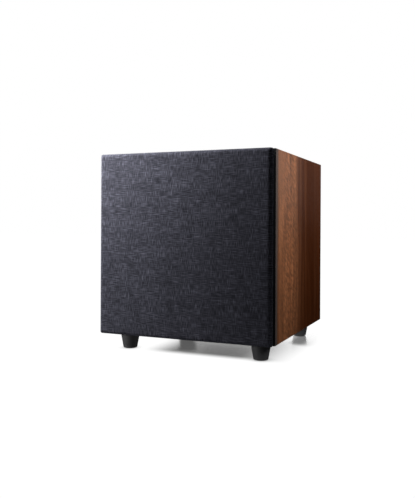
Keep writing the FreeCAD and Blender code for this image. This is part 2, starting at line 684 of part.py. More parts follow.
# ---------------------------------------------------------------- amplifier module

gasket, plate = new_body("amp_gasket_body"), new_body("amp_plate_body")
AX, AZ = D.amp_width / 2, D.amp_height / 2
frame_outer = round_rect(-AX, AX, D.amp_z - AZ, D.amp_z + AZ, q(4.0))
sk = sketch(gasket, "gasket_outline", "XZ_Plane", [
    frame_outer, round_rect(-CUT_X - 0.5, CUT_X + 0.5, D.amp_z - CUT_Z - 0.5, D.amp_z + CUT_Z + 0.5, q(3.0))])
pad(gasket, sk, D.gasket_thick, back=True)
sk = sketch(gasket, "gasket_holes", "XZ_Plane", [], [(x, z, 2.3) for x, z in AMP_SCREWS])
pocket(gasket, sk, D.gasket_thick + 1)
place(gasket, 0, BACK, 0)
keep(gasket, "amp_gasket")

sk = sketch(plate, "plate_outline", "XZ_Plane", [frame_outer])
pad(plate, sk, D.amp_thick, back=True)
dress(plate, "Chamfer", q(0.6), lambda p: abs(p.y - D.amp_thick.value) < 1e-6)
round_holes = [(x, z, 2.3) for x, z in AMP_SCREWS]
round_holes += [(x, D.dial_z, 3.6) for x in (D.volume_x, D.crossover_x)]
round_holes += [(x, D.jack_z, 4.0) for x in (D.jack_high_x, D.jack_low_x)]
round_holes += [(D.led_x, D.switch_z, 2.6)]
openings = [
    rect(D.inlet_x - 23.2, D.inlet_x + 23.2, D.inlet_z - 14.7, D.inlet_z + 14.7),
    rect(D.rocker_x - 6.7, D.rocker_x + 6.7, D.rocker_z - 10.7, D.rocker_z + 10.7),
    rect(D.phase_x - 3.9, D.phase_x + 3.9, D.switch_z - 2.2, D.switch_z + 2.2),
    rect(D.mode_x - 4.9, D.mode_x + 4.9, D.switch_z - 2.2, D.switch_z + 2.2)]
sk = sketch(plate, "plate_openings", "XZ_Plane", openings, round_holes)
pocket(plate, sk, D.amp_thick + 1)
place(plate, 0, AMP_IN, 0)
keep(plate, "amp_plate")

amp_screw, sk, _ = revolve("amp_screw_master", [
    (0, 2.4), (1.4, 2.4), (3.0, 1.8), (3.8, 0.6), (3.8, 0), (2.0, 0), (2.0, -14.5), (0, -16.5)])
sk = sketch(amp_screw, "amp_screw_cross", "XY_Plane", [CROSS], offset=2.5)
pocket(amp_screw, sk, 1.4)
keep(copies("amp_screw_group", amp_screw, [(x, AMP_OUT, z) for x, z in AMP_SCREWS], **REARWARD), "amp_screws")

# finned heat sink on the outside of the plate
sink = new_body("sink_body")
SX, SZ = D.sink_width / 2, D.sink_height / 2
sk = sketch(sink, "sink_base", "XZ_Plane", [rect(-SX, SX, D.sink_z - SZ, D.sink_z + SZ)])
pad(sink, sk, 3.0, back=True)
sk = sketch(sink, "sink_fin", "XZ_Plane", [rect(-SX, -SX + 1.8, D.sink_z - SZ, D.sink_z + SZ)], offset=-3.0)
fin = pad(sink, sk, D.fin_tall, back=True)
before = sink.Shape.Volume
row = sink.newObject("PartDesign::LinearPattern", "sink_fins")
row.Originals = [fin]
row.Direction = (origin_axis(sink, "X_Axis"), [""])
row.Length = D.sink_width.value - 1.8
row.setExpression("Length", (D.sink_width - 1.8).text)
row.Occurrences = 17
sink.Tip = row
doc.recompute()
if not sink.Shape.Volume > before + 1.0:
    raise RuntimeError("fin pattern added nothing")
place(sink, 0, AMP_OUT, 0)
keep(sink, "heatsink")

# circuit board on four standoffs
BY1 = AMP_IN - D.board_back
BY0 = BY1 - D.board_thick
CORNERS = [(D.board_low_x + 5, D.board_low_z + 5), (D.board_high_x - 5, D.board_low_z + 5),
           (D.board_low_x + 5, D.board_high_z - 5), (D.board_high_x - 5, D.board_high_z - 5)]
board = new_body("board_body")
sk = sketch(board, "board_outline", "XZ_Plane", [rect(D.board_low_x, D.board_high_x, D.board_low_z, D.board_high_z)])
pad(board, sk, D.board_thick, back=True)
sk = sketch(board, "board_holes", "XZ_Plane", [], [(x, z, 1.6) for x, z in CORNERS])
pocket(board, sk, D.board_thick + 1)
place(board, 0, BY0, 0)
keep(board, "amp_board")

standoff = new_body("standoff_master")
HEX = [(3.3 * math.cos(math.radians(60 * k)), 3.3 * math.sin(math.radians(60 * k))) for k in range(6)]
HEX = [(round(x, 4) if abs(x) > 1e-9 else 0, round(z, 4) if abs(z) > 1e-9 else 0) for x, z in HEX]
sk = sketch(standoff, "standoff_hex", "XY_Plane", [HEX])
pad(standoff, sk, D.board_back)
sk = sketch(standoff, "standoff_stud", "XY_Plane", [], [(0, 0, 1.5)])
pad(standoff, sk, D.board_thick + 3.0, back=True)
keep(copies("standoff_group", standoff, [(x, BY1, z) for x, z in CORNERS], **REARWARD), "board_standoffs")

# output transistors clamped flat on the plate, legs back to the board
transistor = new_body("transistor_master")
sk = sketch(transistor, "transistor_case", "XZ_Plane", [rect(-8.0, 8.0, 0, 20.0)])
pad(transistor, sk, 5.0, back=True)
sk = sketch(transistor, "transistor_legs", "XZ_Plane", [
    rect(c - 0.6, c + 0.6, 0.6, 1.4) for c in (-5.4, 0.0, 5.4)])
pad(transistor, sk, D.board_back - 5.0)
keep(copies("transistor_group", transistor,
            [(D.board_low_x + 12.0 + 20.5 * i, AMP_IN - 5.0, D.sink_z - 6) for i in range(4)]), "output_transistors")

capacitor, sk, _ = revolve("capacitor_master", [
    (0, 0), (14.0, 0), (15.0, 1.0), (15.0, 4.0), (14.3, 5.0), (15.0, 6.0), (15.0, 39.0), (14.0, 40.0), (0, 40.0)])
keep(copies("capacitor_group", capacitor, [
    (D.board_low_x + 22.0, BY0, D.board_high_z - 30.0), (D.board_high_x - 22.0, BY0, D.board_high_z - 30.0)],
    **FORWARD), "filter_capacitors")

# toroidal transformer bolted flat on the plate, with a rubber-faced dished washer
TR, TB, TH = D.toroid_rad, D.toroid_bore, D.toroid_height
toroid, sk, _ = revolve("toroid_body", [
    (TB + 8, 1.0), (TR - 9, 1.0, 9.0, 1), (TR, 10.0), (TR, 1.0 + TH - 9.0, 9.0, 1), (TR - 9, 1.0 + TH),
    (TB + 8, 1.0 + TH, 8.0, 1), (TB, 1.0 + TH - 8.0), (TB, 9.0, 8.0, 1)])
place(toroid, D.toroid_x, AMP_IN, D.toroid_z, **FORWARD)
keep(toroid, "power_transformer")
clamp, sk, _ = revolve("toroid_clamp_body", [
    (0, 0), (3.0, 0), (3.0, 1.0 + TH), (TR - 12, 1.0 + TH), (TR - 12, 2.5 + TH), (6.0, 2.5 + TH), (6.0, 7.0 + TH),
    (0, 7.0 + TH)])
place(clamp, D.toroid_x, AMP_IN, D.toroid_z, **FORWARD)
keep(clamp, "transformer_clamp")

# line-input jacks: nut, threaded neck, barrel with its contact bore
jack, sk, _ = revolve("jack_master", [
    (1.6, 0), (1.6, 9.6), (D.jack_rad - 0.4, 10.0), (D.jack_rad, 9.6), (D.jack_rad, 1.5), (6.2, 1.5), (6.2, 0),
    (3.9, 0), (3.9, -D.amp_thick), (6.0, -D.amp_thick), (6.0, -10.0), (1.2, -10.0), (1.2, -15.0), (0, -15.0),
    (0, 0)])
keep(copies("jack_group", jack, [(x, AMP_OUT, D.jack_z) for x in (D.jack_high_x, D.jack_low_x)],
            **REARWARD), "rca_jacks")

# mains inlet with a fuse drawer above the plug recess
IX, IZ = D.inlet_x, D.inlet_z
inlet = new_body("inlet_body")
sk = sketch(inlet, "inlet_flange", "XZ_Plane", [round_rect(IX - 25, IX + 25, IZ - 16.5, IZ + 16.5, q(2.0))])
pad(inlet, sk, 2.5, back=True)
sk = sketch(inlet, "inlet_block", "XZ_Plane", [rect(IX - 23, IX + 23, IZ - 14.5, IZ + 14.5)])
pad(inlet, sk, 26.0)
sk = sketch(inlet, "inlet_recess", "XZ_Plane", [[
    (IX - 12.3, IZ - 13.0), (IX + 12.3, IZ - 13.0), (IX + 12.3, IZ + 0.2), (IX + 9.0, IZ + 3.8),
    (IX - 9.0, IZ + 3.8), (IX - 12.3, IZ + 0.2)]], offset=-2.5)
pocket(inlet, sk, 18.5, up=True)
sk = sketch(inlet, "fuse_slot", "XZ_Plane", [rect(IX - 13.1, IX + 13.1, IZ + 5.4, IZ + 12.8)], offset=-2.5)
pocket(inlet, sk, 25.0, up=True)
PINS = [(-7.0, -4.6), (7.0, -4.6), (0.0, -8.6)]
sk = sketch(inlet, "pin_slots", "XZ_Plane", [
    rect(IX + px - 1.05, IX + px + 1.05, IZ + pz - 2.05, IZ + pz + 2.05) for px, pz in PINS], offset=-2.5)
pocket(inlet, sk, 40.0, up=True)
place(inlet, 0, AMP_OUT, 0)
keep(inlet, "mains_inlet")
keep(group("pin_group", [
    box("inlet_pin_%d" % i, IX + px - 1.0, IX + px + 1.0, AMP_OUT - 32.0, AMP_OUT - 1.0, IZ + pz - 2.0, IZ + pz + 2.0)
    for i, (px, pz) in enumerate(PINS)]), "inlet_pins")
drawer = cut("drawer_cut", fuse("drawer_solid", [
    box("drawer_tray", IX - 13.0, IX + 13.0, AMP_OUT - 20.0, AMP_OUT + 2.5, IZ + 5.5, IZ + 12.7),
    box("drawer_lip", IX - 14.5, IX + 14.5, AMP_OUT + 2.5, AMP_OUT + 4.5, IZ + 4.6, IZ + 13.6)]),
    [box("drawer_trough", IX - 10.6, IX + 10.6, AMP_OUT - 12.0, AMP_OUT - 6.0, IZ + 7.0, IZ + 14.0),
     box("drawer_grip", IX - 5.0, IX + 5.0, AMP_OUT + 3.5, AMP_OUT + 6.0, IZ + 3.0, IZ + 6.4)])
keep(drawer, "fuse_drawer")
keep(cylinder("fuse_tube", IX - 10.0, AMP_OUT - 9.0, IZ + 9.75, 2.6, 20.0, axis=(0, 1, 0), angle=90.0), "fuse")

# power rocker in its bezel, at rest on its lower contact
RX, RZ = D.rocker_x, D.rocker_z
bezel = new_body("rocker_bezel")
sk = sketch(bezel, "bezel_flange", "XZ_Plane", [round_rect(RX - 8.5, RX + 8.5, RZ - 12.5, RZ + 12.5, q(1.5))])
pad(bezel, sk, 2.0, back=True)
sk = sketch(bezel, "bezel_block", "XZ_Plane", [rect(RX - 6.5, RX + 6.5, RZ - 10.5, RZ + 10.5)])
pad(bezel, sk, 18.0)
sk = sketch(bezel, "bezel_well", "XZ_Plane", [rect(RX - 5.5, RX + 5.5, RZ - 9.2, RZ + 9.2)], offset=-2.0)
pocket(bezel, sk, 14.0, up=True)
sk = sketch(bezel, "bezel_pivot", "YZ_Plane", [], [(-1.0, RZ, 1.25)], offset=RX + 7.0)
pocket(bezel, sk, 14.0)
place(bezel, 0, AMP_OUT, 0)
keep(bezel, "power_switch_housing")
rocker = new_body("rocker_body")
sk = sketch(rocker, "rocker_side", "YZ_Plane", [[
    (2.6, 0), (5.0, 8.4), (-0.6, 8.5), (-5.0, 3.0), (-5.0, -3.0), (-0.6, -8.5), (5.0, -8.4)]])
pad(rocker, sk, 10.6, both=True)
sk = sketch(rocker, "rocker_trunnion", "YZ_Plane", [], [(0, 0, 1.2)])
pad(rocker, sk, 12.6, both=True)
place(rocker, RX, AMP_OUT - 1.0, RZ, axis=(1, 0, 0), angle=-9.0)
keep(rocker, "power_rocker")

# level and crossover controls: threaded pot, shaft and fluted knob
pot, sk, _ = revolve("pot_master", [
    (D.shaft_rad + D.shaft_clear, 3.5), (3.5, 3.5), (3.5, 0), (8.5, 0), (8.5, -9.0), (7.5, -10.0), (0, -10.0),
    (0, -8.0), (D.shaft_rad + D.shaft_clear, -8.0)])
shaft, sk, _ = revolve("shaft_master", [(0, -7.5), (D.shaft_rad, -7.5), (D.shaft_rad, 15.0), (2.5, 15.5), (0, 15.5)])
KR, KH = D.knob_rad, D.knob_height
knob, kprof, _ = revolve("knob_master", [
    (D.shaft_rad + 0.02, 0), (KR, 0), (KR, 2.0), (KR - 1.0, KH - 1.5, 1.5, 1), (KR - 2.5, KH), (0, KH),
    (0, KH - 2.4), (D.shaft_rad + 0.02, KH - 2.4)])
sk = sketch(knob, "knob_flute", "XY_Plane", [], [(KR + 0.35, 0, 1.25)], offset=q(2.0))
flute = pocket(knob, sk, KH, up=True)
polar(knob, flute, sk, 20)
sk = sketch(knob, "knob_pointer", "XY_Plane", [rect(-0.6, 0.6, -(KR - 1.0), -3.0)], offset=KH + 0.1)
pocket(knob, sk, 0.6)
for control, at in (("volume", D.volume_x), ("crossover", D.crossover_x)):
    keep(copies(control + "_pot_group", pot, [(at, AMP_IN, D.dial_z)], **REARWARD), control + "_pot")
    keep(copies(control + "_shaft_group", shaft, [(at, AMP_IN, D.dial_z)], **REARWARD), control + "_shaft")
    keep(copies(control + "_knob_group", knob, [(at, AMP_OUT + 1.8, D.dial_z)], **REARWARD), control + "_knob")


# two slide switches behind slots in the plate
def slide_switch(name, x, well, slot, start):
    y0 = AMP_IN - 7.5
    body = cut(name + "_case", box(name + "_block", x - 10.0, x + 10.0, y0, AMP_IN, D.switch_z - 4.5, D.switch_z + 4.5),
               [box(name + "_well", x - well / 2, x + well / 2, y0 + 1.5, AMP_IN + 1.0,
                    D.switch_z - 2.05, D.switch_z + 2.05)])
    slider = fuse(name + "_moving", [
        box(name + "_shoe", x + start - 2.7, x + start + 2.7, y0 + 1.6, AMP_IN - 0.4, D.switch_z - 1.97, D.switch_z + 1.97),
        box(name + "_nub", x + start - 1.7, x + start + 1.7, AMP_IN - 0.4, AMP_OUT + 3.0, D.switch_z - 1.97, D.switch_z + 1.97)])
    return body, slider


case, slider = slide_switch("phase", D.phase_x, 9.8, 7.8, -2.0)
keep(case, "phase_switch")
keep(slider, "phase_slider")
case, slider = slide_switch("mode", D.mode_x, 11.8, 9.8, 0.0)
keep(case, "mode_switch")
keep(slider, "mode_slider")

led, sk, _ = revolve("led_body", [
    (0, -6.0), (2.9, -6.0), (2.9, -D.amp_thick), (2.5, -D.amp_thick), (2.5, 0.6, cap_radius(2.5, 2.0), 1), (0, 2.6)])
place(led, D.led_x, AMP_OUT, D.switch_z, **REARWARD)
keep(led, "led_lens")

# internal wiring: woofer pair, mains pair from inlet to switch, switch to
# transformer, transformer to board
by = BY0.value
ix, iz, rx, rz = IX.value, IZ.value, RX.value, RZ.value
wires = []
for n, dx in enumerate((0.0, 9.0)):
    wires.append(lead("speaker_wire_%d" % n, [
        (40.0 + dx, by - 0.5, 186.0), (42.0 + dx, by - 22.0, 194.0), (62.0 + dx * 0.5, 40.0, 236.0 + dx),
        (84.0, -32.0, 232.0 + dx), (104.0 - dx * 0.4, yf + 60.0, wzv + (15.0 if n else -7.0)),
        (100.5, yf + 41.4, wzv + (13.0 + 1.9 if n else -13.0 + 1.9))], 1.4))
for n, (px, pz) in enumerate(PINS[:2]):
    wires.append(lead("mains_wire_%d" % n, [
        (ix + px, AMP_OUT.value - 33.8, iz + pz), (ix + px - 6.0, AMP_OUT.value - 46.0, iz + pz + 2.0 - 6.0 * n),
        (0.0, AMP_OUT.value - 50.0, iz + 4.0 - 12.0 * n), (rx + 8.0 - 8.0 * n, AMP_OUT.value - 36.0, rz + 3.0 - 9.0 * n),
        (rx + 3.0 - 6.0 * n, AMP_OUT.value - 20.5, rz + 3.0 - 9.0 * n)], 1.4))
tx, tz = D.toroid_x.value, D.toroid_z.value
wires.append(lead("primary_wire", [
    (rx - 1.5, AMP_OUT.value - 20.5, rz + 7.5), (rx - 4.0, AMP_OUT.value - 30.0, rz + 16.0),
    (tx - 8.0, yin - 46.0, tz - 48.0), (tx - 6.0, yin - 43.2, tz - 39.0)], 1.4))
wires.append(lead("secondary_wire", [
    (tx + 36.0, yin - 43.2, tz + 14.0), (tx + 44.0, yin - 49.0, tz + 18.0), (6.0, by - 14.0, tz + 22.0),
    (16.0, by - 2.0, tz + 22.0)], 1.4))
keep(group("wiring_group", wires), "internal_wiring")

# ---------------------------------------------------------------- grille
# A board frame with a big round opening, stepped in at the back so that a dark
# reveal shows between the cloth and the baffle, on four pegs.
GX, GZ, GH = D.grille_width / 2, D.grille_z, D.grille_height / 2
CT = D.cloth_thick
FACE = FRONT - D.grille_front               # outside of the cloth
STEP = FRONT - D.grille_step                # back of the cloth-covered part
frame = new_body("grille_frame_body")
sk = sketch(frame, "frame_front", "XZ_Plane", [
    rect(-(GX - CT), GX - CT, GZ - GH + CT, GZ + GH - CT)])
pad(frame, sk, STEP - FACE - CT, back=True)
deep = (STEP - FACE - CT).value
dress(frame, "Fillet", D.grille_round - CT, lambda p: abs(p.y) < 1e-6)
INSET = GX - CT - D.grille_inset
INSET_Z = GH - CT - D.grille_inset
sk = sketch(frame, "frame_step", "XZ_Plane", [
    round_rect(-INSET, INSET, GZ - INSET_Z, GZ + INSET_Z, q(3.0))], offset=-(STEP - FACE - CT))
pad(frame, sk, D.grille_step, back=True)
sk = sketch(frame, "frame_opening", "XZ_Plane", [], [(0, WZ, D.grille_open)])
pocket(frame, sk, D.grille_front + 1)
sk = sketch(frame, "frame_peg_holes", "XZ_Plane", [], [(x, z, D.peg_rad + 0.05) for x, z in PEGS],
            offset=-(STEP - FACE - CT + D.grille_step))
pocket(frame, sk, 10.2, up=True)
place(frame, 0, FACE + CT, 0)
keep(frame, "grille_frame")

peg, sk, _ = revolve("peg_master", [
    (0, -10.0), (D.peg_rad, -10.0), (D.peg_rad, D.peg_length - 1.2), (D.peg_rad - 1.2, D.peg_length),
    (0, D.peg_length)])
keep(copies("peg_group", peg, [(x, FRONT, z) for x, z in PEGS], **REARWARD), "grille_pegs")

cloth = new_body("grille_cloth_body")
sk = sketch(cloth, "cloth_outline", "XZ_Plane", [rect(-GX, GX, GZ - GH, GZ + GH)])
pad(cloth, sk, STEP - FACE, back=True)
sk = sketch(cloth, "cloth_inside", "XZ_Plane", [rect(-(GX - CT), GX - CT, GZ - GH + CT, GZ + GH - CT)],
            offset=-(STEP - FACE))
pocket(cloth, sk, STEP - FACE - CT, up=True)
ct = CT.value
dress(cloth, "Fillet", D.grille_round - CT, lambda p: abs(p.y - ct) < 1e-6)
dress(cloth, "Fillet", D.grille_round, lambda p: abs(p.y) < 1e-6)
place(cloth, 0, FACE, 0)
keep(cloth, "grille_cloth")

# ---------------------------------------------------------------- checks and output

doc.recompute()
bad = []
for obj in doc.Objects:
    if any(word in obj.State for word in ("Invalid", "Error")):
        bad.append("%s (%s) state %s" % (obj.Name, obj.Label, obj.State))
for obj in NODES:
    shape = obj.Shape
    if shape.isNull() or not shape.isValid() or not shape.Solids:
        bad.append("%s has a null or invalid shape" % obj.Label)
if bad:
    raise RuntimeError("\n".join(bad))
if len(NODES) > 60 or len({obj.Label for obj in NODES}) != len(NODES):
    raise RuntimeError("too many nodes, or two share a name")

os.makedirs("parts", exist_ok=True)
for obj in NODES:
    obj.Shape.exportStep("parts/%s.step" % obj.Label)
print("%d nodes written" % len(NODES))
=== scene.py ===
import json
import math

import bpy
import numpy as np
from mathutils import Matrix, Vector, noise

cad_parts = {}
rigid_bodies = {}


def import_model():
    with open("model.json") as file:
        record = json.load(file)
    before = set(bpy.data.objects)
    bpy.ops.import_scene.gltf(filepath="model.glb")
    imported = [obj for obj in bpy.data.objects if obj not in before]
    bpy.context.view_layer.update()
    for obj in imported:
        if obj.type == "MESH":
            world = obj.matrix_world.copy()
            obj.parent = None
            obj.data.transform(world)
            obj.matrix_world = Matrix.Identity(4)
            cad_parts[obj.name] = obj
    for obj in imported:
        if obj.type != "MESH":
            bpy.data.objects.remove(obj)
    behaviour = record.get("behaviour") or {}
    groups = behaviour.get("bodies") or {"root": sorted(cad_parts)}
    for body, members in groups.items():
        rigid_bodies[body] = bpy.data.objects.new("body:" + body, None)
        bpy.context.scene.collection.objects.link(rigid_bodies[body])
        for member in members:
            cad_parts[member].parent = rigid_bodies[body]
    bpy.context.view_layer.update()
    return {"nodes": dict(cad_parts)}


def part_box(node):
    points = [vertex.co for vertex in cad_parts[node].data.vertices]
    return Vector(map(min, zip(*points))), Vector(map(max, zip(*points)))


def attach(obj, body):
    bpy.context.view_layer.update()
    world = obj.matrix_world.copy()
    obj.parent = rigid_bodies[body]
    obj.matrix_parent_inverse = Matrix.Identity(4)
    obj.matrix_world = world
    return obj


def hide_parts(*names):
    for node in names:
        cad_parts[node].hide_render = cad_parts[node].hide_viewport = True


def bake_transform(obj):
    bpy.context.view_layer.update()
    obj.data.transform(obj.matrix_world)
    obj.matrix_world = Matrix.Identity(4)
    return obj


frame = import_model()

MM = 0.001


# ---------------------------------------------------------------- node helpers

class Graph:
    """A node material written as short expressions; lengths are in metres."""

    def __init__(self, name, tree=None):
        if tree is None:
            self.mat = bpy.data.materials.new(name)
            self.mat.use_nodes = True
            tree = self.mat.node_tree
        self.tree = tree
        tree.nodes.clear()
        self.co = self.node("ShaderNodeTexCoord")
        self.pos = self.co.outputs["Object"]
        self.uv = self.co.outputs["UV"]

    def node(self, kind, **props):
        n = self.tree.nodes.new(kind)
        for k, v in props.items():
            setattr(n, k, v)
        return n

    def plug(self, socket, value):
        if value is None:
            return
        if isinstance(value, bpy.types.NodeSocket):
            self.tree.links.new(value, socket)
        elif hasattr(socket.default_value, "__len__"):
            size = len(socket.default_value)
            v = tuple(value) if hasattr(value, "__len__") else (value,) * size
            socket.default_value = (v + (1.0,) * size)[:size]
        else:
            socket.default_value = value

    def math(self, op, a, b=None, c=None, clamp=False):
        n = self.node("ShaderNodeMath", operation=op, use_clamp=clamp)
        for s, v in zip(n.inputs, (a, b, c)):
            self.plug(s, v)
        return n.outputs[0]

    def add(self, a, b):
        return self.math("ADD", a, b)

    def mul(self, a, b):
        return self.math("MULTIPLY", a, b)

    def split(self, v):
        n = self.node("ShaderNodeSeparateXYZ")
        self.plug(n.inputs[0], v)
        return n.outputs[0], n.outputs[1], n.outputs[2]

    def vec(self, x, y, z=0.0):
        n = self.node("ShaderNodeCombineXYZ")
        for s, v in zip(n.inputs, (x, y, z)):
            self.plug(s, v)
        return n.outputs[0]

    def stretch(self, v, x, y, z):
        n = self.node("ShaderNodeVectorMath", operation="MULTIPLY")
        self.plug(n.inputs[0], v)
        self.plug(n.inputs[1], (x, y, z))
        return n.outputs[0]

    def noise(self, v, scale=1.0, detail=2.0, rough=0.5, distort=0.0):
        n = self.node("ShaderNodeTexNoise")
        self.plug(n.inputs["Vector"], v)
        n.inputs["Scale"].default_value = scale
        n.inputs["Detail"].default_value = detail
        n.inputs["Roughness"].default_value = rough
        n.inputs["Distortion"].default_value = distort
        return n.outputs[0]

    def cells(self, v, scale, feature="F1", out="Distance"):
        n = self.node("ShaderNodeTexVoronoi", feature=feature)
        self.plug(n.inputs["Vector"], v)
        n.inputs["Scale"].default_value = scale
        return n.outputs[out]

    def remap(self, x, a, b, c=0.0, d=1.0, smooth=False):
        n = self.node("ShaderNodeMapRange", interpolation_type="SMOOTHSTEP" if smooth else "LINEAR")
        for s, v in zip(n.inputs, (x, a, b, c, d)):
            self.plug(s, v)
        return n.outputs[0]

    def ramp(self, x, stops):
        n = self.node("ShaderNodeValToRGB")
        el = n.color_ramp.elements
        while len(el) < len(stops):
            el.new(1.0)
        for e, (at, colour) in zip(el, stops):
            e.position = at
            e.color = tuple(colour) + (1.0,)
        self.plug(n.inputs[0], x)
        return n.outputs[0]

    def mix(self, fac, a, b, how="MIX"):
        n = self.node("ShaderNodeMix", data_type="RGBA", blend_type=how)
        self.plug(n.inputs[0], fac)
        self.plug(n.inputs[6], a)
        self.plug(n.inputs[7], b)
        return n.outputs[2]

    def shade(self, colour, factor):
        """colour times a grey factor."""
        n = self.node("ShaderNodeVectorMath", operation="SCALE")
        self.plug(n.inputs[0], colour)
        self.plug(n.inputs["Scale"], factor)
        return n.outputs[0]

    def bump(self, height, depth, strength=1.0, normal=None):
        """height 0..1 raises the surface by up to depth metres."""
        n = self.node("ShaderNodeBump")
        n.inputs["Strength"].default_value = strength
        n.inputs["Distance"].default_value = depth
        self.plug(n.inputs["Height"], height)
        self.plug(n.inputs["Normal"], normal)
        return n.outputs[0]

    def done(self, colour, rough=0.5, metal=0.0, normal=None, **more):
        b = self.node("ShaderNodeBsdfPrincipled")
        self.plug(b.inputs["Base Color"], colour)
        self.plug(b.inputs["Roughness"], rough)
        self.plug(b.inputs["Metallic"], metal)
        self.plug(b.inputs["Normal"], normal)
        for k, v in more.items():
            self.plug(b.inputs[k.replace("_", " ")], v)
        out = self.node("ShaderNodeOutputMaterial")
        self.tree.links.new(b.outputs[0], out.inputs["Surface"])
        return self.mat


def grained(name, colour, rough, depth, pitch, metal=0.0, tone=0.12, tone_size=0.03, speck=0.0, **more):
    """An even finish with a fine raised grain, slow tonal drift and worn roughness.
    pitch: size of one grain; depth: its height; tone: how far the colour drifts."""
    g = Graph(name)
    grain = g.noise(g.pos, 1.0 / pitch, 3.0, 0.6)
    drift = g.noise(g.pos, 1.0 / tone_size, 3.0, 0.55)
    factor = g.remap(drift, 0.3, 0.7, 1.0 - tone, 1.0 + tone)
    if speck:
        factor = g.mul(factor, g.remap(grain, 0.35, 0.65, 1.0 - speck, 1.0 + speck))
    wear = g.add(g.remap(drift, 0.3, 0.7, -0.05, 0.05), g.remap(grain, 0.3, 0.7, rough - 0.03, rough + 0.03))
    return g.done(g.shade(colour, factor), wear, metal, g.bump(grain, depth), **more)


def brushed(name, colour, rough, axis, metal=1.0, pitch=0.00015, length=0.02, **more):
    """Metal with fine lines running along one axis."""
    g = Graph(name)
    s = [1.0 / pitch] * 3
    s["xyz".index(axis)] = 1.0 / length
    lines = g.noise(g.stretch(g.pos, *s), 1.0, 2.0, 0.6)
    drift = g.noise(g.pos, 40.0, 2.0)
    colour = g.shade(colour, g.mul(g.remap(lines, 0.3, 0.7, 0.85, 1.12), g.remap(drift, 0.3, 0.7, 0.93, 1.05)))
    return g.done(colour, g.remap(lines, 0.25, 0.75, rough - 0.06, rough + 0.1), metal, g.bump(lines, 0.000008), **more)


def raw_board(g):
    """Bare fibreboard colour, for faces that look into the box."""
    flecks = g.noise(g.stretch(g.pos, 500.0, 900.0, 500.0), 1.0, 2.0, 0.6)
    slow = g.noise(g.pos, 18.0, 2.0)
    colour = g.ramp(flecks, [(0.3, (0.235, 0.140, 0.072)), (0.55, (0.345, 0.215, 0.118)), (0.7, (0.42, 0.285, 0.17))])
    return g.shade(colour, g.remap(slow, 0.3, 0.7, 0.9, 1.08))


def facing(g, axis, sign):
    """1 on faces that look along the signed axis, else 0."""
    geo = g.node("ShaderNodeNewGeometry")
    n = g.split(geo.outputs["True Normal"])["xyz".index(axis)]
    return g.remap(g.mul(n, float(sign)), 0.75, 0.85, 0.0, 1.0)


# ---------------------------------------------------------------- wood

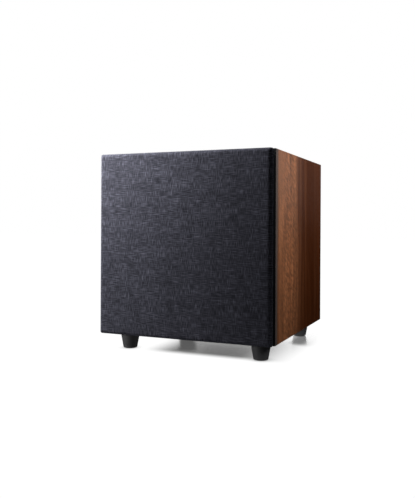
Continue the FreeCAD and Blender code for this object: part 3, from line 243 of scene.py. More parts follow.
def walnut(name, along, shift, light, dark, inside):
    """Figured walnut veneer under satin lacquer. The grain runs along one axis; y is across it.
    The leaf's pale, rippled half faces the front and its dark half the back. The face that
    looks into the box, named as inside = (axis, sign), is bare board."""
    g = Graph(name)
    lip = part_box("right_side_panel")[0][1]
    x, y, z = g.split(g.pos)
    run = {"z": z, "x": x}[along]
    run = g.add(run, shift)
    # slow wander of the whole figure
    wander = g.noise(g.vec(g.mul(y, 5.0), g.mul(run, 2.6), shift), 1.0, 2.0, 0.5)
    across = g.add(y, g.mul(g.add(wander, -0.5), 0.085))
    # long growth bands, narrower towards the dark heart
    bands = g.noise(g.vec(g.mul(across, 46.0), g.mul(run, 2.2), 3.1 + shift), 1.0, 3.0, 0.55)
    lines = g.noise(g.vec(g.mul(across, 330.0), g.mul(run, 7.0), 1.7), 1.0, 3.0, 0.6)
    fibre = g.noise(g.vec(g.mul(across, 1500.0), g.mul(run, 60.0), 5.0), 1.0, 2.0, 0.6)
    pores = g.noise(g.vec(g.mul(across, 2600.0), g.mul(run, 130.0), 9.0), 1.0, 1.0, 0.5)
    pore = g.remap(pores, 0.60, 0.70)
    # cross ripple (curl) on a slant, strongest in the pale half near its border
    slant = g.add(g.mul(run, 190.0), g.mul(across, 112.0))
    curl = g.noise(g.vec(slant, g.mul(across, 95.0), g.mul(run, 9.0)), 1.0, 1.0, 0.5)
    where = g.math("MULTIPLY", g.remap(across, -0.15, -0.09, 0.15, 1.0, True), g.remap(across, -0.06, 0.03, 1.0, 0.0, True))
    ripple = g.mul(g.remap(curl, 0.36, 0.64, -1.0, 1.0, True), where)
    vein = g.noise(g.vec(g.mul(across, 150.0), g.mul(run, 3.0), 13.0 + shift), 1.0, 1.0, 0.5)
    vein = g.mul(g.remap(vein, 0.48, 0.68, 0.0, 1.0, True), where)
    # pale in front, dark behind
    edge = g.add(across, g.mul(ripple, 0.010))
    half = g.remap(edge, -0.098, 0.034, 0.0, 1.0, True)
    half = g.math("ADD", half, g.remap(bands, 0.35, 0.65, -0.30, 0.30), clamp=True)
    colour = g.ramp(half, [(0.0, light), (0.35, tuple(0.72 * a + 0.28 * b for a, b in zip(light, dark))),
                           (0.75, tuple(0.25 * a + 0.75 * b for a, b in zip(light, dark))), (1.0, dark)])
    factor = g.mul(g.remap(lines, 0.3, 0.7, 0.74, 1.24), g.remap(fibre, 0.3, 0.7, 0.90, 1.10))
    factor = g.mul(factor, g.add(1.0, g.mul(ripple, 0.35)))
    factor = g.mul(factor, g.add(0.96, g.mul(vein, 0.52)))
    # painted shade: the wood is painted darker, down to half, within the first 14 mm behind its front edge
    factor = g.mul(factor, g.remap(y, lip + 0.001, lip + 0.014, 0.50, 1.0, True))
    factor = g.mul(factor, g.remap(pore, 0.0, 1.0, 1.0, 0.45))
    # a paler streak near the rear edge
    rear = g.math("MULTIPLY", g.remap(across, 0.11, 0.15, 0.0, 1.0, True), g.remap(bands, 0.45, 0.6, 0.0, 1.0))
    factor = g.mul(factor, g.add(1.0, g.mul(rear, 0.5)))
    colour = g.shade(colour, factor)
    height = g.add(g.mul(fibre, 0.4), g.mul(pore, -1.0))
    rough = g.add(g.remap(fibre, 0.3, 0.7, 0.27, 0.36), g.mul(pore, 0.2))
    # painted sheen: the finish is made glossier towards the front and nearly dull at the back, so only the front shows
    # a sheen
    painted_front_sheen = g.remap(y, -0.15, 0.05, 0.50, 0.02, True)
    bare = facing(g, *inside)
    colour = g.mix(bare, colour, raw_board(g))
    rough = g.math("MAXIMUM", rough, g.mul(bare, 0.86))
    return g.done(colour, rough, 0.0, g.bump(height, 0.00003), Specular_IOR_Level=painted_front_sheen)


WOOD_LIGHT, WOOD_DARK = (0.300, 0.115, 0.049), (0.090, 0.0225, 0.0058)


# ---------------------------------------------------------------- cloth

def linen(name):
    """Heathered open-weave speaker cloth: slubby threads both ways, charcoal with a blue cast."""
    g = Graph(name)
    u, v, _ = g.split(g.uv)
    # streaks: lengths of paler and darker yarn, long across, shorter upright
    flat = g.noise(g.vec(g.mul(u, 1 / 0.0140), g.mul(v, 1 / 0.00115), 0.0), 1.0, 0.0)
    upright = g.noise(g.vec(g.mul(u, 1 / 0.00115), g.mul(v, 1 / 0.0115), 7.0), 1.0, 0.0)
    patch = g.remap(g.noise(g.vec(g.mul(u, 34.0), g.mul(v, 40.0), 11.0), 1.0, 1.0), 0.40, 0.60, 0.45, 1.55, True)
    broad = g.noise(g.vec(g.mul(u, 24.0), g.mul(v, 40.0), 3.0), 1.0, 2.0, 0.5)
    # plain weave, threads 0.95 mm apart
    pitch = 0.00095
    su = g.math("SINE", g.mul(u, math.pi / pitch))
    sv = g.math("SINE", g.mul(v, math.pi / pitch))
    over = g.remap(g.mul(su, sv), -0.25, 0.25, 0.0, 1.0, True)
    warp, weft = g.math("ABSOLUTE", su), g.math("ABSOLUTE", sv)
    weave = g.add(g.mul(warp, over), g.mul(weft, g.math("SUBTRACT", 1.0, over)))
    yarn = g.noise(g.vec(g.mul(u, 4200.0), g.mul(v, 4200.0), 0.0), 1.0, 1.0)
    tone = g.add(g.mul(g.remap(flat, 0.44, 0.80, 0.0, 0.92), patch),
                 g.mul(g.remap(upright, 0.44, 0.80, 0.0, 0.95), g.math("SUBTRACT", 2.0, patch)))
    # now and then one thicker, paler thread
    slub = g.add(g.remap(g.noise(g.vec(g.mul(u, 1 / 0.022), g.mul(v, 1 / 0.0014), 31.0), 1.0, 0.0), 0.64, 0.78, 0.0, 0.75),
                 g.remap(g.noise(g.vec(g.mul(u, 1 / 0.0014), g.mul(v, 1 / 0.018), 37.0), 1.0, 0.0), 0.64, 0.78, 0.0, 0.70))
    tone = g.add(g.add(0.65, slub), tone)
    tone = g.mul(tone, g.remap(weave, 0.2, 1.0, 0.72, 1.12))
    tone = g.mul(tone, g.remap(yarn, 0.3, 0.7, 0.92, 1.08))
    tone = g.mul(tone, g.remap(broad, 0.3, 0.7, 0.86, 1.14))
    tone = g.mul(tone, g.remap(g.noise(g.vec(g.mul(u, 60.0), g.mul(v, 105.0), 21.0), 1.0, 1.0), 0.3, 0.7, 0.95, 1.05))
    colour = g.shade((0.0758, 0.0760, 0.0972), g.math("MAXIMUM", tone, 0.12))
    height = g.add(g.mul(weave, 0.6), g.add(g.mul(flat, 0.5), g.mul(upright, 0.4)))
    return g.done(colour, 0.92, 0.0, g.bump(height, 0.00016, 0.7),
                  Specular_IOR_Level=0.05)


# ---------------------------------------------------------------- material table

N = frame["nodes"]


def dress(material, *nodes):
    for n in nodes:
        data = N[n].data
        if not data.materials:
            data.materials.append(material)
        for i in range(len(data.materials)):
            data.materials[i] = material


dress(walnut("walnut_right", "z", 0.0, WOOD_LIGHT, WOOD_DARK, ("x", -1)), "right_side_panel")
dress(walnut("walnut_left", "z", 1.7, WOOD_LIGHT, WOOD_DARK, ("x", 1)), "left_side_panel")
dress(walnut("walnut_top", "x", 3.3, WOOD_LIGHT, WOOD_DARK, ("z", -1)), "top_panel")


def baffle_finish():
    """Black satin on the face, painted deeper than the paint itself to carry the shade in the gap behind the grille
    (painted shade); the 12 mm edge that shows all round is stained grey-brown.
    """
    g = Graph("baffle_finish")
    x, y, z = g.split(g.pos)
    geo = g.node("ShaderNodeNewGeometry")
    nx, ny, nz = g.split(geo.outputs["True Normal"])
    face = g.remap(g.math("ABSOLUTE", ny), 0.35, 0.75, 0.0, 1.0)
    wood = g.noise(g.stretch(g.pos, 900.0, 1400.0, 26.0), 1.0, 3.0, 0.6)
    slow = g.noise(g.pos, 14.0, 2.0)
    brown = g.shade((0.080, 0.060, 0.053), g.mul(g.remap(wood, 0.3, 0.7, 0.75, 1.2), g.remap(slow, 0.3, 0.7, 0.85, 1.12)))
    peel = g.noise(g.pos, 520.0, 2.0, 0.5)
    # painted shade: the satin black is made deeper than the paint alone, to carry the shade in the narrow gap behind
    # the grille
    black_and_gap_shade = g.shade((0.0042, 0.0042, 0.0046), g.remap(slow, 0.3, 0.7, 0.9, 1.12))
    return g.done(g.mix(face, brown, black_and_gap_shade), g.remap(peel, 0.3, 0.7, 0.40, 0.50), 0.0, g.bump(peel, 0.00003),
                  Specular_IOR_Level=0.1)


dress(baffle_finish(), "front_baffle")


def fibreboard(name):
    g = Graph(name)
    fine = g.noise(g.pos, 1600.0, 3.0, 0.65)
    flecks = g.noise(g.stretch(g.pos, 500.0, 900.0, 500.0), 1.0, 2.0, 0.6)
    slow = g.noise(g.pos, 18.0, 2.0)
    colour = g.ramp(flecks, [(0.3, (0.235, 0.140, 0.072)), (0.55, (0.345, 0.215, 0.118)), (0.7, (0.42, 0.285, 0.17))])
    colour = g.shade(colour, g.mul(g.remap(slow, 0.3, 0.7, 0.9, 1.08), g.remap(fine, 0.3, 0.7, 0.9, 1.1)))
    return g.done(colour, 0.86, 0.0, g.bump(fine, 0.00006))


dress(fibreboard("raw_fibreboard"), "inner_baffle", "window_brace")


def rear_finish():
    """Grained black vinyl outside, bare board inside."""
    g = Graph("rear_vinyl")
    grain = g.noise(g.pos, 1.0 / 0.0009, 3.0, 0.6)
    drift = g.noise(g.pos, 33.0, 3.0, 0.55)
    bare = facing(g, "y", -1)
    colour = g.shade((0.021, 0.0205, 0.0205), g.remap(drift, 0.3, 0.7, 0.92, 1.08))
    rough = g.add(g.remap(drift, 0.3, 0.7, -0.05, 0.05), g.remap(grain, 0.3, 0.7, 0.52, 0.58))
    return g.done(g.mix(bare, colour, raw_board(g)), g.math("MAXIMUM", rough, g.mul(bare, 0.86)), 0.0, g.bump(grain, 0.00008))


dress(rear_finish(), "rear_panel")


def underside_finish():
    """The same grained vinyl as the back; where it faces the floor it is painted mid grey, painted light standing in
    for light from the floor below.
    """
    g = Graph("underside_vinyl")
    geo = g.node("ShaderNodeNewGeometry")
    nx, ny, nz = g.split(geo.outputs["True Normal"])
    painted_floor_light_mask = g.remap(nz, -0.9, -0.5, 1.0, 0.0)
    grain = g.noise(g.pos, 1.0 / 0.0009, 3.0, 0.6)
    drift = g.noise(g.pos, 33.0, 3.0, 0.55)
    # painted light: the faces that look down are painted mid grey, lighter than the same vinyl elsewhere
    colour = g.mix(painted_floor_light_mask, (0.021, 0.0205, 0.0205), (0.140, 0.138, 0.135))
    colour = g.shade(colour, g.remap(drift, 0.3, 0.7, 0.94, 1.06))
    bare = facing(g, "z", 1)
    rough = g.math("MAXIMUM", g.remap(grain, 0.3, 0.7, 0.55, 0.63), g.mul(bare, 0.86))
    return g.done(g.mix(bare, colour, raw_board(g)), rough, 0.0, g.bump(grain, 0.00008))


dress(underside_finish(), "bottom_panel")
dress(grained("moulded_black", (0.0105, 0.0105, 0.0115), 0.40, 0.00004, 0.0007, tone=0.10, Specular_IOR_Level=0.45),
      "port_tube", "grille_pegs", "mains_inlet", "fuse_drawer", "power_switch_housing")
dress(grained("foot_plastic", (0.040, 0.040, 0.042), 0.45, 0.00004, 0.0006, tone=0.10, Specular_IOR_Level=0.4), "feet")
dress(grained("black_rubber", (0.016, 0.016, 0.017), 0.72, 0.00006, 0.0005, tone=0.2, tone_size=0.008, speck=0.15),
      "foot_pads", "grille_sockets", "woofer_gasket", "surround", "amp_gasket")
dress(grained("zinc_steel", (0.60, 0.585, 0.55), 0.34, 0.00001, 0.0006, metal=1.0, tone=0.14, tone_size=0.006, speck=0.08),
      "foot_screws", "top_plate", "pole_yoke", "transformer_clamp", "inlet_pins")
dress(grained("powder_coat", (0.0145, 0.0145, 0.0150), 0.48, 0.00007, 0.0008, tone=0.08, speck=0.06, Specular_IOR_Level=0.5),
      "woofer_basket", "woofer_screws", "amp_screws", "amp_plate")


def pulp(name):
    """Pressed fibre cone: felted fibres and faint rings about the driver's axis."""
    g = Graph(name)
    x, y, z = g.split(g.pos)
    lo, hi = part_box("woofer_basket")
    cz = (lo[2] + hi[2]) / 2
    dz = g.add(z, -cz)
    r = g.math("SQRT", g.add(g.mul(x, x), g.mul(dz, dz)))
    ring = g.math("SINE", g.mul(r, 2 * math.pi / 0.0026))
    felt = g.noise(g.stretch(g.pos, 700.0, 300.0, 1500.0), 1.0, 4.0, 0.7, 0.6)
    fluff = g.noise(g.pos, 2600.0, 2.0, 0.6)
    colour = g.shade((0.0165, 0.0165, 0.0172), g.mul(g.remap(felt, 0.3, 0.7, 0.6, 1.6), g.remap(fluff, 0.3, 0.7, 0.85, 1.2)))
    height = g.add(g.mul(felt, 1.0), g.mul(ring, 0.12))
    return g.done(colour, 0.78, 0.0, g.bump(height, 0.00012))


dress(pulp("cone_pulp"), "cone", "dust_cap")
dress(brushed("former_foil", (0.75, 0.75, 0.76), 0.30, "y"), "voice_coil_former", "volume_shaft", "crossover_shaft")
dress(grained("winding_copper", (0.55, 0.20, 0.09), 0.35, 0.00002, 0.0003, metal=1.0), "voice_coil_winding")
dress(grained("ferrite", (0.035, 0.034, 0.036), 0.62, 0.00005, 0.0012, tone=0.25, tone_size=0.01, speck=0.12), "magnet")
dress(grained("terminal_paper", (0.19, 0.085, 0.035), 0.6, 0.00003, 0.0004, speck=0.2), "woofer_terminals")
dress(brushed("sink_anodised", (0.020, 0.020, 0.022), 0.42, "z", metal=0.0, Specular_IOR_Level=0.7), "heatsink")


def circuit(name):
    """Green solder mask with straight tracks and pads."""
    g = Graph(name)
    x, y, z = g.split(g.pos)
    track = g.cells(g.vec(g.mul(x, 1.0), 0.0, g.mul(z, 0.25)), 260.0, "DISTANCE_TO_EDGE")
    lines = g.remap(track, 0.05, 0.09, 1.0, 0.0)
    pads = g.remap(g.cells(g.pos, 190.0), 0.12, 0.16, 1.0, 0.0)
    base = g.mix(lines, (0.012, 0.075, 0.028), (0.022, 0.125, 0.05))
    colour = g.mix(pads, base, (0.55, 0.52, 0.46))
    return g.done(colour, g.remap(pads, 0.0, 1.0, 0.35, 0.25), g.mul(pads, 0.9), g.bump(g.add(lines, pads), 0.00004))


dress(circuit("solder_mask"), "amp_board")
dress(grained("brass", (0.80, 0.60, 0.27), 0.24, 0.000008, 0.0005, metal=1.0, tone=0.10, tone_size=0.004, speck=0.05),
      "board_standoffs", "rca_jacks")
dress(grained("epoxy", (0.018, 0.018, 0.019), 0.5, 0.00004, 0.0005, speck=0.1), "output_transistors", "phase_switch", "mode_switch")
dress(grained("sleeve_blue", (0.018, 0.035, 0.085), 0.32, 0.00001, 0.003, tone=0.06, Coat_Weight=0.3), "filter_capacitors")


def tape(name):
    """Overlapping turns of polyester tape wound round the ring."""
    g = Graph(name)
    lo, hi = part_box("power_transformer")
    cx, cz = (lo[0] + hi[0]) / 2, (lo[2] + hi[2]) / 2
    x, y, z = g.split(g.pos)
    a = g.math("ARCTAN2", g.add(z, -cz), g.add(x, -cx))
    turn = g.math("FRACT", g.mul(a, 44 / (2 * math.pi)))
    step = g.remap(turn, 0.0, 0.10, 0.0, 1.0, True)
    drift = g.noise(g.pos, 70.0, 2.0)
    colour = g.shade((0.33, 0.24, 0.045), g.mul(g.remap(step, 0.0, 1.0, 0.5, 1.0), g.remap(drift, 0.3, 0.7, 0.85, 1.1)))
    return g.done(colour, 0.3, 0.0, g.bump(g.add(g.mul(turn, 0.7), step), 0.00015), Coat_Weight=0.2)


dress(tape("transformer_tape"), "power_transformer")


def glass_tube(name):
    g = Graph(name)
    x, y, z = g.split(g.pos)
    lo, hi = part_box("fuse")
    cap = g.math("GREATER_THAN", g.math("ABSOLUTE", g.add(x, -(lo[0] + hi[0]) / 2)), (hi[0] - lo[0]) / 2 - 0.0052)
    smudge = g.noise(g.pos, 900.0, 2.0)
    colour = g.mix(cap, (0.72, 0.80, 0.82), (0.72, 0.72, 0.70))
    return g.done(colour, g.remap(smudge, 0.3, 0.7, 0.06, 0.16), g.mul(cap, 1.0), g.bump(smudge, 0.000004),
                  Transmission_Weight=g.math("SUBTRACT", 0.85, g.mul(cap, 0.85)), IOR=1.48)


dress(glass_tube("fuse_glass"), "fuse")
dress(grained("rocker_gloss", (0.012, 0.012, 0.013), 0.20, 0.000006, 0.0015, tone=0.05, Coat_Weight=0.4), "power_rocker")
dress(grained("pot_steel", (0.50, 0.49, 0.46), 0.38, 0.00001, 0.0005, metal=1.0, tone=0.12), "volume_pot", "crossover_pot")
dress(grained("knob_plastic", (0.0150, 0.0150, 0.0160), 0.38, 0.00003, 0.0005, tone=0.06), "volume_knob", "crossover_knob",
      "phase_slider", "mode_slider")


def lens(name):
    g = Graph(name)
    swirl = g.noise(g.pos, 1400.0, 2.0)
    return g.done(g.shade((0.05, 0.42, 0.09), g.remap(swirl, 0.3, 0.7, 0.9, 1.1)), g.remap(swirl, 0.3, 0.7, 0.14, 0.22), 0.0,
                  g.bump(swirl, 0.000008), Transmission_Weight=0.35, IOR=1.5, Emission_Color=(0.05, 0.8, 0.12),
                  Emission_Strength=0.25)


dress(lens("led_lens_green"), "led_lens")


def sleeves(name):
    """PVC insulation, each wire red or black along its whole length."""
    g = Graph(name)
    geo = g.node("ShaderNodeNewGeometry")
    fine = g.noise(g.pos, 1800.0, 2.0)
    which = g.math("GREATER_THAN", geo.outputs["Random Per Island"], 0.5)
    colour = g.mix(which, (0.26, 0.018, 0.014), (0.016, 0.016, 0.017))
    return g.done(g.shade(colour, g.remap(fine, 0.3, 0.7, 0.92, 1.08)), 0.42, 0.0, g.bump(fine, 0.00001))


dress(sleeves("wire_sleeves"), "internal_wiring")
dress(grained("grille_board_paint", (0.011, 0.011, 0.012), 0.66, 0.00006, 0.0007, tone=0.12, speck=0.12), "grille_frame")


# ---------------------------------------------------------------- mesh helpers

def make_mesh(name, points, faces, material, smooth=True, uv=None):
    data = bpy.data.meshes.new(name)
    points = np.asarray(points, np.float32)
    faces = np.asarray(faces, np.int32)
    count, corners = len(faces), faces.shape[1]
    data.vertices.add(len(points))
    data.vertices.foreach_set("co", points.ravel())
    data.loops.add(count * corners)
    data.loops.foreach_set("vertex_index", faces.ravel())
    data.polygons.add(count)
    data.polygons.foreach_set("loop_start", np.arange(count, dtype=np.int32) * corners)
    data.update(calc_edges=True)
    data.polygons.foreach_set("use_smooth", np.full(count, bool(smooth)))
    if uv is not None:
        layer = data.uv_layers.new(name="UVMap")
        layer.data.foreach_set("uv", np.asarray(uv, np.float32)[faces.ravel()].ravel())
    data.materials.append(material)
    data.validate()
    obj = bpy.data.objects.new(name, data)
    bpy.context.scene.collection.objects.link(obj)
    return obj


def grid_faces(rows, cols, wrap_rows=False, wrap_cols=False):
    r = np.arange(rows if wrap_rows else rows - 1)
    c = np.arange(cols if wrap_cols else cols - 1)
    rr, cc = np.meshgrid(r, c, indexing="ij")
    a = rr * cols + cc
    b = rr * cols + (cc + 1) % cols
    d = ((rr + 1) % rows) * cols + cc
    e = ((rr + 1) % rows) * cols + (cc + 1) % cols
    return np.stack([a, b, e, d], -1).reshape(-1, 4)


def join_parts(parts):
    """[(points, faces)] as one (points, faces)."""
    points, faces, start = [], [], 0
    for p, f in parts:
        points.append(np.asarray(p, float))
        faces.append(np.asarray(f) + start)
        start += len(p)
    return np.vstack(points), np.vstack(faces)


def lathe(profile, steps, axis_x, axis_z, front, closed=True):
    """Turn (radius, forward) millimetres about the driver's axis; forward 0 is the baffle face."""
    prof = np.asarray(profile, float) * MM
    turn = np.arange(steps) * (2 * math.pi / steps)
    r, n = prof[:, 0], prof[:, 1]
    pts = np.stack([
        axis_x + np.outer(np.cos(turn), r), np.broadcast_to(front - n, (steps, len(r))),
        axis_z + np.outer(np.sin(turn), r)], -1).reshape(-1, 3)
    return pts, grid_faces(steps, len(r), wrap_rows=True, wrap_cols=closed)


def smoothstep(x, a, b):
    t = np.clip((np.asarray(x, float) - a) / (b - a), 0.0, 1.0)
    return t * t * (3 - 2 * t)


# ---------------------------------------------------------------- grille cloth

def stretched_cloth():
    """Cloth drawn over the front, round the softened edges, down the sides and turned in behind."""
    lo, hi = (np.array(c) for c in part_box("grille_cloth"))
    cx, cz = (lo[0] + hi[0]) / 2, (lo[2] + hi[2]) / 2
    hx, hz = (hi[0] - lo[0]) / 2, (hi[2] - lo[2]) / 2
    front, depth = lo[1], hi[1] - lo[1]
    R, corner_r, fold_r, hem = 0.0075, 0.0038, 0.0010, 0.0060
    arc, fold = R * math.pi / 2, fold_r * math.pi / 2
    side = depth - R - fold_r
    border = np.concatenate([
        np.linspace(0, arc, 11)[1:], arc + np.linspace(0, side, 6)[1:],
        arc + side + np.linspace(0, fold, 5)[1:], arc + side + fold + np.linspace(0, hem, 4)[1:]])

    def stations(half):
        flat = half - R
        cells = 260
        mid = np.linspace(-flat, flat, cells + 1)
        return np.concatenate([-(flat + border[::-1]), mid, flat + border])

    s, t = np.meshgrid(stations(hx), stations(hz), indexing="xy")
    rows, cols = s.shape
    s, t = s.ravel(), t.ravel()
    qx, qz = np.maximum(np.abs(s) - (hx - R), 0.0), np.maximum(np.abs(t) - (hz - R), 0.0)
    r = np.maximum(qx, qz)
    # distance along the wrap -> how far outward, how far back
    a1 = np.clip(r, 0, arc) / R
    out, back = R * np.sin(a1), R * (1 - np.cos(a1))
    back = back + np.clip(r - arc, 0, side)
    a2 = np.clip(r - arc - side, 0, fold) / fold_r
    out, back = out - fold_r * (1 - np.cos(a2)), back + fold_r * np.sin(a2)
    out = out - np.clip(r - arc - side - fold, 0, None)
    # position along the corner outline
    both = (qx > 0) & (qz > 0)
    big = np.maximum(r, 1e-12)
    w = np.where(qx >= qz, 0.5 * qz / big, 1 - 0.5 * qx / big)
    rc = corner_r * np.maximum(out, 0) / R
    st = out - rc
    length = 2 * st + rc * math.pi / 2
    along = w * length
    phi = np.clip((along - st) / np.maximum(rc, 1e-9), 0, math.pi / 2)
    ox = np.where(along < st, out, np.where(along < st + rc * math.pi / 2, st + rc * np.cos(phi), length - along))
    oz = np.where(along < st, along, np.where(along < st + rc * math.pi / 2, st + rc * np.sin(phi), out))
    dx = np.where(both, ox, np.where(qx > 0, out, 0.0))
    dz = np.where(both, oz, np.where(qz > 0, out, 0.0))
    px = np.sign(s) * (np.minimum(np.abs(s), hx - R) + dx)
    pz = np.sign(t) * (np.minimum(np.abs(t), hz - R) + dz)
    # slubs and the slight unevenness of hand-stretched cloth, only on the face and the turn
    lift = np.zeros(len(s))
    for i in range(len(s)):
        a = noise.noise(Vector((s[i] / 0.016, t[i] / 0.0036, 0.0)))
        b = noise.noise(Vector((s[i] / 0.0036, t[i] / 0.011, 4.0)))
        c = noise.noise(Vector((s[i] / 0.05, t[i] / 0.05, 9.0)))
        lift[i] = 0.00005 * a + 0.00004 * b + 0.00012 * c
    keep = 1 - smoothstep(r, arc * 0.6, arc + side)
    y = front + back + 0.00012 - lift * keep
    pts = np.stack([cx + px, y, cz + pz], -1)
    return pts, grid_faces(rows, cols), np.stack([s, t], -1)


pts, faces, uv = stretched_cloth()
cloth = make_mesh("grille_linen", pts, faces, linen("linen"), uv=uv)
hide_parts("grille_cloth")
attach(cloth, "grille")

# ---------------------------------------------------------------- woofer soft parts

lo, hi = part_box("front_baffle")
FRONT = lo[1]
lo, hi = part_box("woofer_basket")
AX, AZ = (lo[0] + hi[0]) / 2, (lo[2] + hi[2]) / 2


def turned_band(inner_r, outer_r, centre, thick, steps, foot_in, foot_out):
    """Cross-section of a half-roll: outer foot, roll, inner foot, then back underneath."""
    mid, rad = (inner_r + outer_r) / 2, (outer_r - inner_r) / 2
    top = [(foot_out, centre - 0.6), (foot_out - 0.3, centre), (outer_r + 1.6, centre), (outer_r + 0.5, centre + 0.15)]
    top += [(mid + rad * math.cos(a), centre + 0.45 + (rad - 0.2) * math.sin(a)) for a in np.linspace(0.06, math.pi - 0.06, steps)]
    top += [(inner_r - 0.5, centre + 0.15), (inner_r - 1.6, centre), (foot_in + 0.3, centre), (foot_in, centre - 0.6)]
    rad2 = rad - thick
    under = [(foot_in, centre - thick), (inner_r, centre - thick)]
    under += [(mid - rad2 * math.cos(a), centre - thick + 0.3 + (rad2 - 0.2) * math.sin(a)) for a in np.linspace(0.06, math.pi - 0.06, steps)]
    under += [(outer_r, centre - thick), (foot_out, centre - thick)]
    return top + under


rubber = grained("surround_rubber", (0.017, 0.017, 0.018), 0.56, 0.00004, 0.0006, tone=0.15, tone_size=0.01, Specular_IOR_Level=0.5)
pts, faces = lathe(turned_band(88.6, 107.4, -0.5, 1.0, 22, 81.6, 117.1), 144, AX, AZ, FRONT)
surround = make_mesh("surround_roll", pts, faces, rubber)
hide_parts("surround")
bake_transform(surround)


def woven_disc(name):
    g = Graph(name)
    x, y, z = g.split(g.pos)
    a = g.math("SINE", g.mul(x, math.pi / 0.0007))
    b = g.math("SINE", g.mul(z, math.pi / 0.0007))
    over = g.remap(g.mul(a, b), -0.2, 0.2, 0.0, 1.0, True)
    h = g.add(g.mul(g.math("ABSOLUTE", a), over), g.mul(g.math("ABSOLUTE", b), g.math("SUBTRACT", 1.0, over)))
    drift = g.noise(g.pos, 60.0, 2.0)
    colour = g.shade((0.42, 0.27, 0.10), g.mul(g.remap(h, 0.1, 1.0, 0.6, 1.1), g.remap(drift, 0.3, 0.7, 0.85, 1.1)))
    return g.done(colour, 0.75, 0.0, g.bump(h, 0.0001))


radii = np.linspace(25.4, 73.4, 110)
wave = np.where((radii > 30.3) & (radii < 65.5), 1.0, 0.0)
folds = -1.9 * np.sin((radii - 30.3) / (65.5 - 30.3) * 9 * math.pi) * wave
upper = [(r, -49.2 + f) for r, f in zip(radii, folds)]
lower = [(r, -49.95 + f) for r, f in zip(radii[::-1], folds[::-1])]
pts, faces = lathe(upper + lower, 120, AX, AZ, FRONT)
spider = make_mesh("spider_disc", pts, faces, woven_disc("spider_weave"))
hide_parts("spider")
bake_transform(spider)


def tube(path, radius, sides=10, twist=0.0, bumps=0.0):
    """Round tube through a polyline; each ring's radius can ripple like braid."""
    path = np.asarray(path, float)
    tang = np.gradient(path, axis=0)
    tang /= np.linalg.norm(tang, axis=1)[:, None]
    ref = np.array([0.0, 0.0, 1.0])
    n1 = np.cross(tang, ref)
    n1 /= np.linalg.norm(n1, axis=1)[:, None]
    n2 = np.cross(tang, n1)
    a = np.arange(sides) * 2 * math.pi / sides
    rings = []
    for i in range(len(path)):
        rr = radius * (1 + bumps * np.cos(4 * a + i * twist))
        rings.append(path[i] + np.outer(np.cos(a) * rr, n1[i]) + np.outer(np.sin(a) * rr, n2[i]))
    pts = np.vstack(rings + [path[:1], path[-1:]])
    faces = grid_faces(len(path), sides, wrap_cols=True)
    last = (len(path) - 1) * sides
    tips = []
    for k in range(sides):
        tips.append([len(pts) - 2, (k + 1) % sides, k, k])
        tips.append([len(pts) - 1, last + k, last + (k + 1) % sides, last + (k + 1) % sides])
    return pts, faces, tips


def spline(points, count):
    """Catmull-Rom through the points."""
    p = np.asarray(points, float)
    p = np.vstack([2 * p[0] - p[1], p, 2 * p[-1] - p[-2]])
    out = []
    spans = len(p) - 3
    for i in range(count):
        f = i / (count - 1) * spans
        k = min(int(f), spans - 1)
        t = f - k
        a, b, c, d = p[k:k + 4]
        out.append(0.5 * ((2 * b) + (c - a) * t + (2 * a - 5 * b + 4 * c - d) * t * t + (3 * b - a - 3 * c + d) * t ** 3))
    return np.array(out)


lead_parts, lead_w = [], []
for sgn in (-1, 1):
    run = spline([(90.5, 35.0, sgn * 17.8), (82.0, 40.0, sgn * 17.4), (66.0, 38.5, sgn * 13.5), (49.0, 27.6, sgn * 10.0)], 90)
    run = run * MM + np.array([AX, FRONT, AZ])
    p, f, tips = tube(run, 0.00066, 12, 0.55, 0.10)
    lead_parts.append((p, f))
    share = np.repeat(np.linspace(0, 1, 90), 12)
    lead_w.append(smoothstep(np.concatenate([share, [0.0, 1.0]]), 0.08, 0.92))
p, f = join_parts(lead_parts)
leads = make_mesh("tinsel_braid", p, f, grained("braid_copper", (0.62, 0.32, 0.16), 0.34, 0.00004, 0.00035, metal=1.0, speck=0.3))
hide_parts("tinsel_leads")
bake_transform(leads)

# ---------------------------------------------------------------- wadding inside the box

def wadding(x0, x1, y0, y1, z0, z1, face):
    """A loose fibre pad: soft edges, lumpy free side; face is the axis (with sign) of the free side."""
    cell = 0.006
    size = np.array([x1 - x0, y1 - y0, z1 - z0])
    counts = np.maximum((size / cell).astype(int), 3)
    keys, pts, quads = {}, [], []

    def vert(i, j, k):
        key = (i, j, k)
        if key not in keys:
            keys[key] = len(pts)
            pts.append((x0 + size[0] * i / counts[0], y0 + size[1] * j / counts[1], z0 + size[2] * k / counts[2]))
        return keys[key]

    for axis in range(3):
        u, v = (axis + 1) % 3, (axis + 2) % 3
        for end in (0, counts[axis]):
            for a in range(counts[u]):
                for b in range(counts[v]):
                    q = []
                    for da, db in ((0, 0), (1, 0), (1, 1), (0, 1)):
                        idx = [0, 0, 0]
                        idx[axis], idx[u], idx[v] = end, a + da, b + db
                        q.append(vert(*idx))
                    quads.append(q if end else q[::-1])
    pts = np.array(pts)
    centre = np.array([(x0 + x1) / 2, (y0 + y1) / 2, (z0 + z1) / 2])
    half = size / 2
    rel = (pts - centre) / half
    # round the edges off
    soft = np.minimum(0.009 / half, 0.9)
    over = np.maximum(np.abs(rel) - (1 - soft), 0) / soft
    reach = np.linalg.norm(over, axis=1)
    trim = np.where(reach > 1, 1 / np.maximum(reach, 1e-9), 1.0)[:, None]
    rel = np.sign(rel) * (np.minimum(np.abs(rel), 1 - soft) + soft * over * trim)
    pts = centre + rel * half
    axis, sign = abs(face) - 1, (1 if face > 0 else -1)
    free = smoothstep(rel[:, axis] * sign, 0.2, 1.0)
    for i in range(len(pts)):
        p = Vector(pts[i])
        n = noise.fractal(p * 38.0, 1.0, 2.0, 4) + 0.5 * noise.noise(p * 160.0)
        pts[i, axis] -= sign * free[i] * (0.0028 + 0.0026 * max(-1.0, min(1.0, n)))
    return pts, np.array(quads)


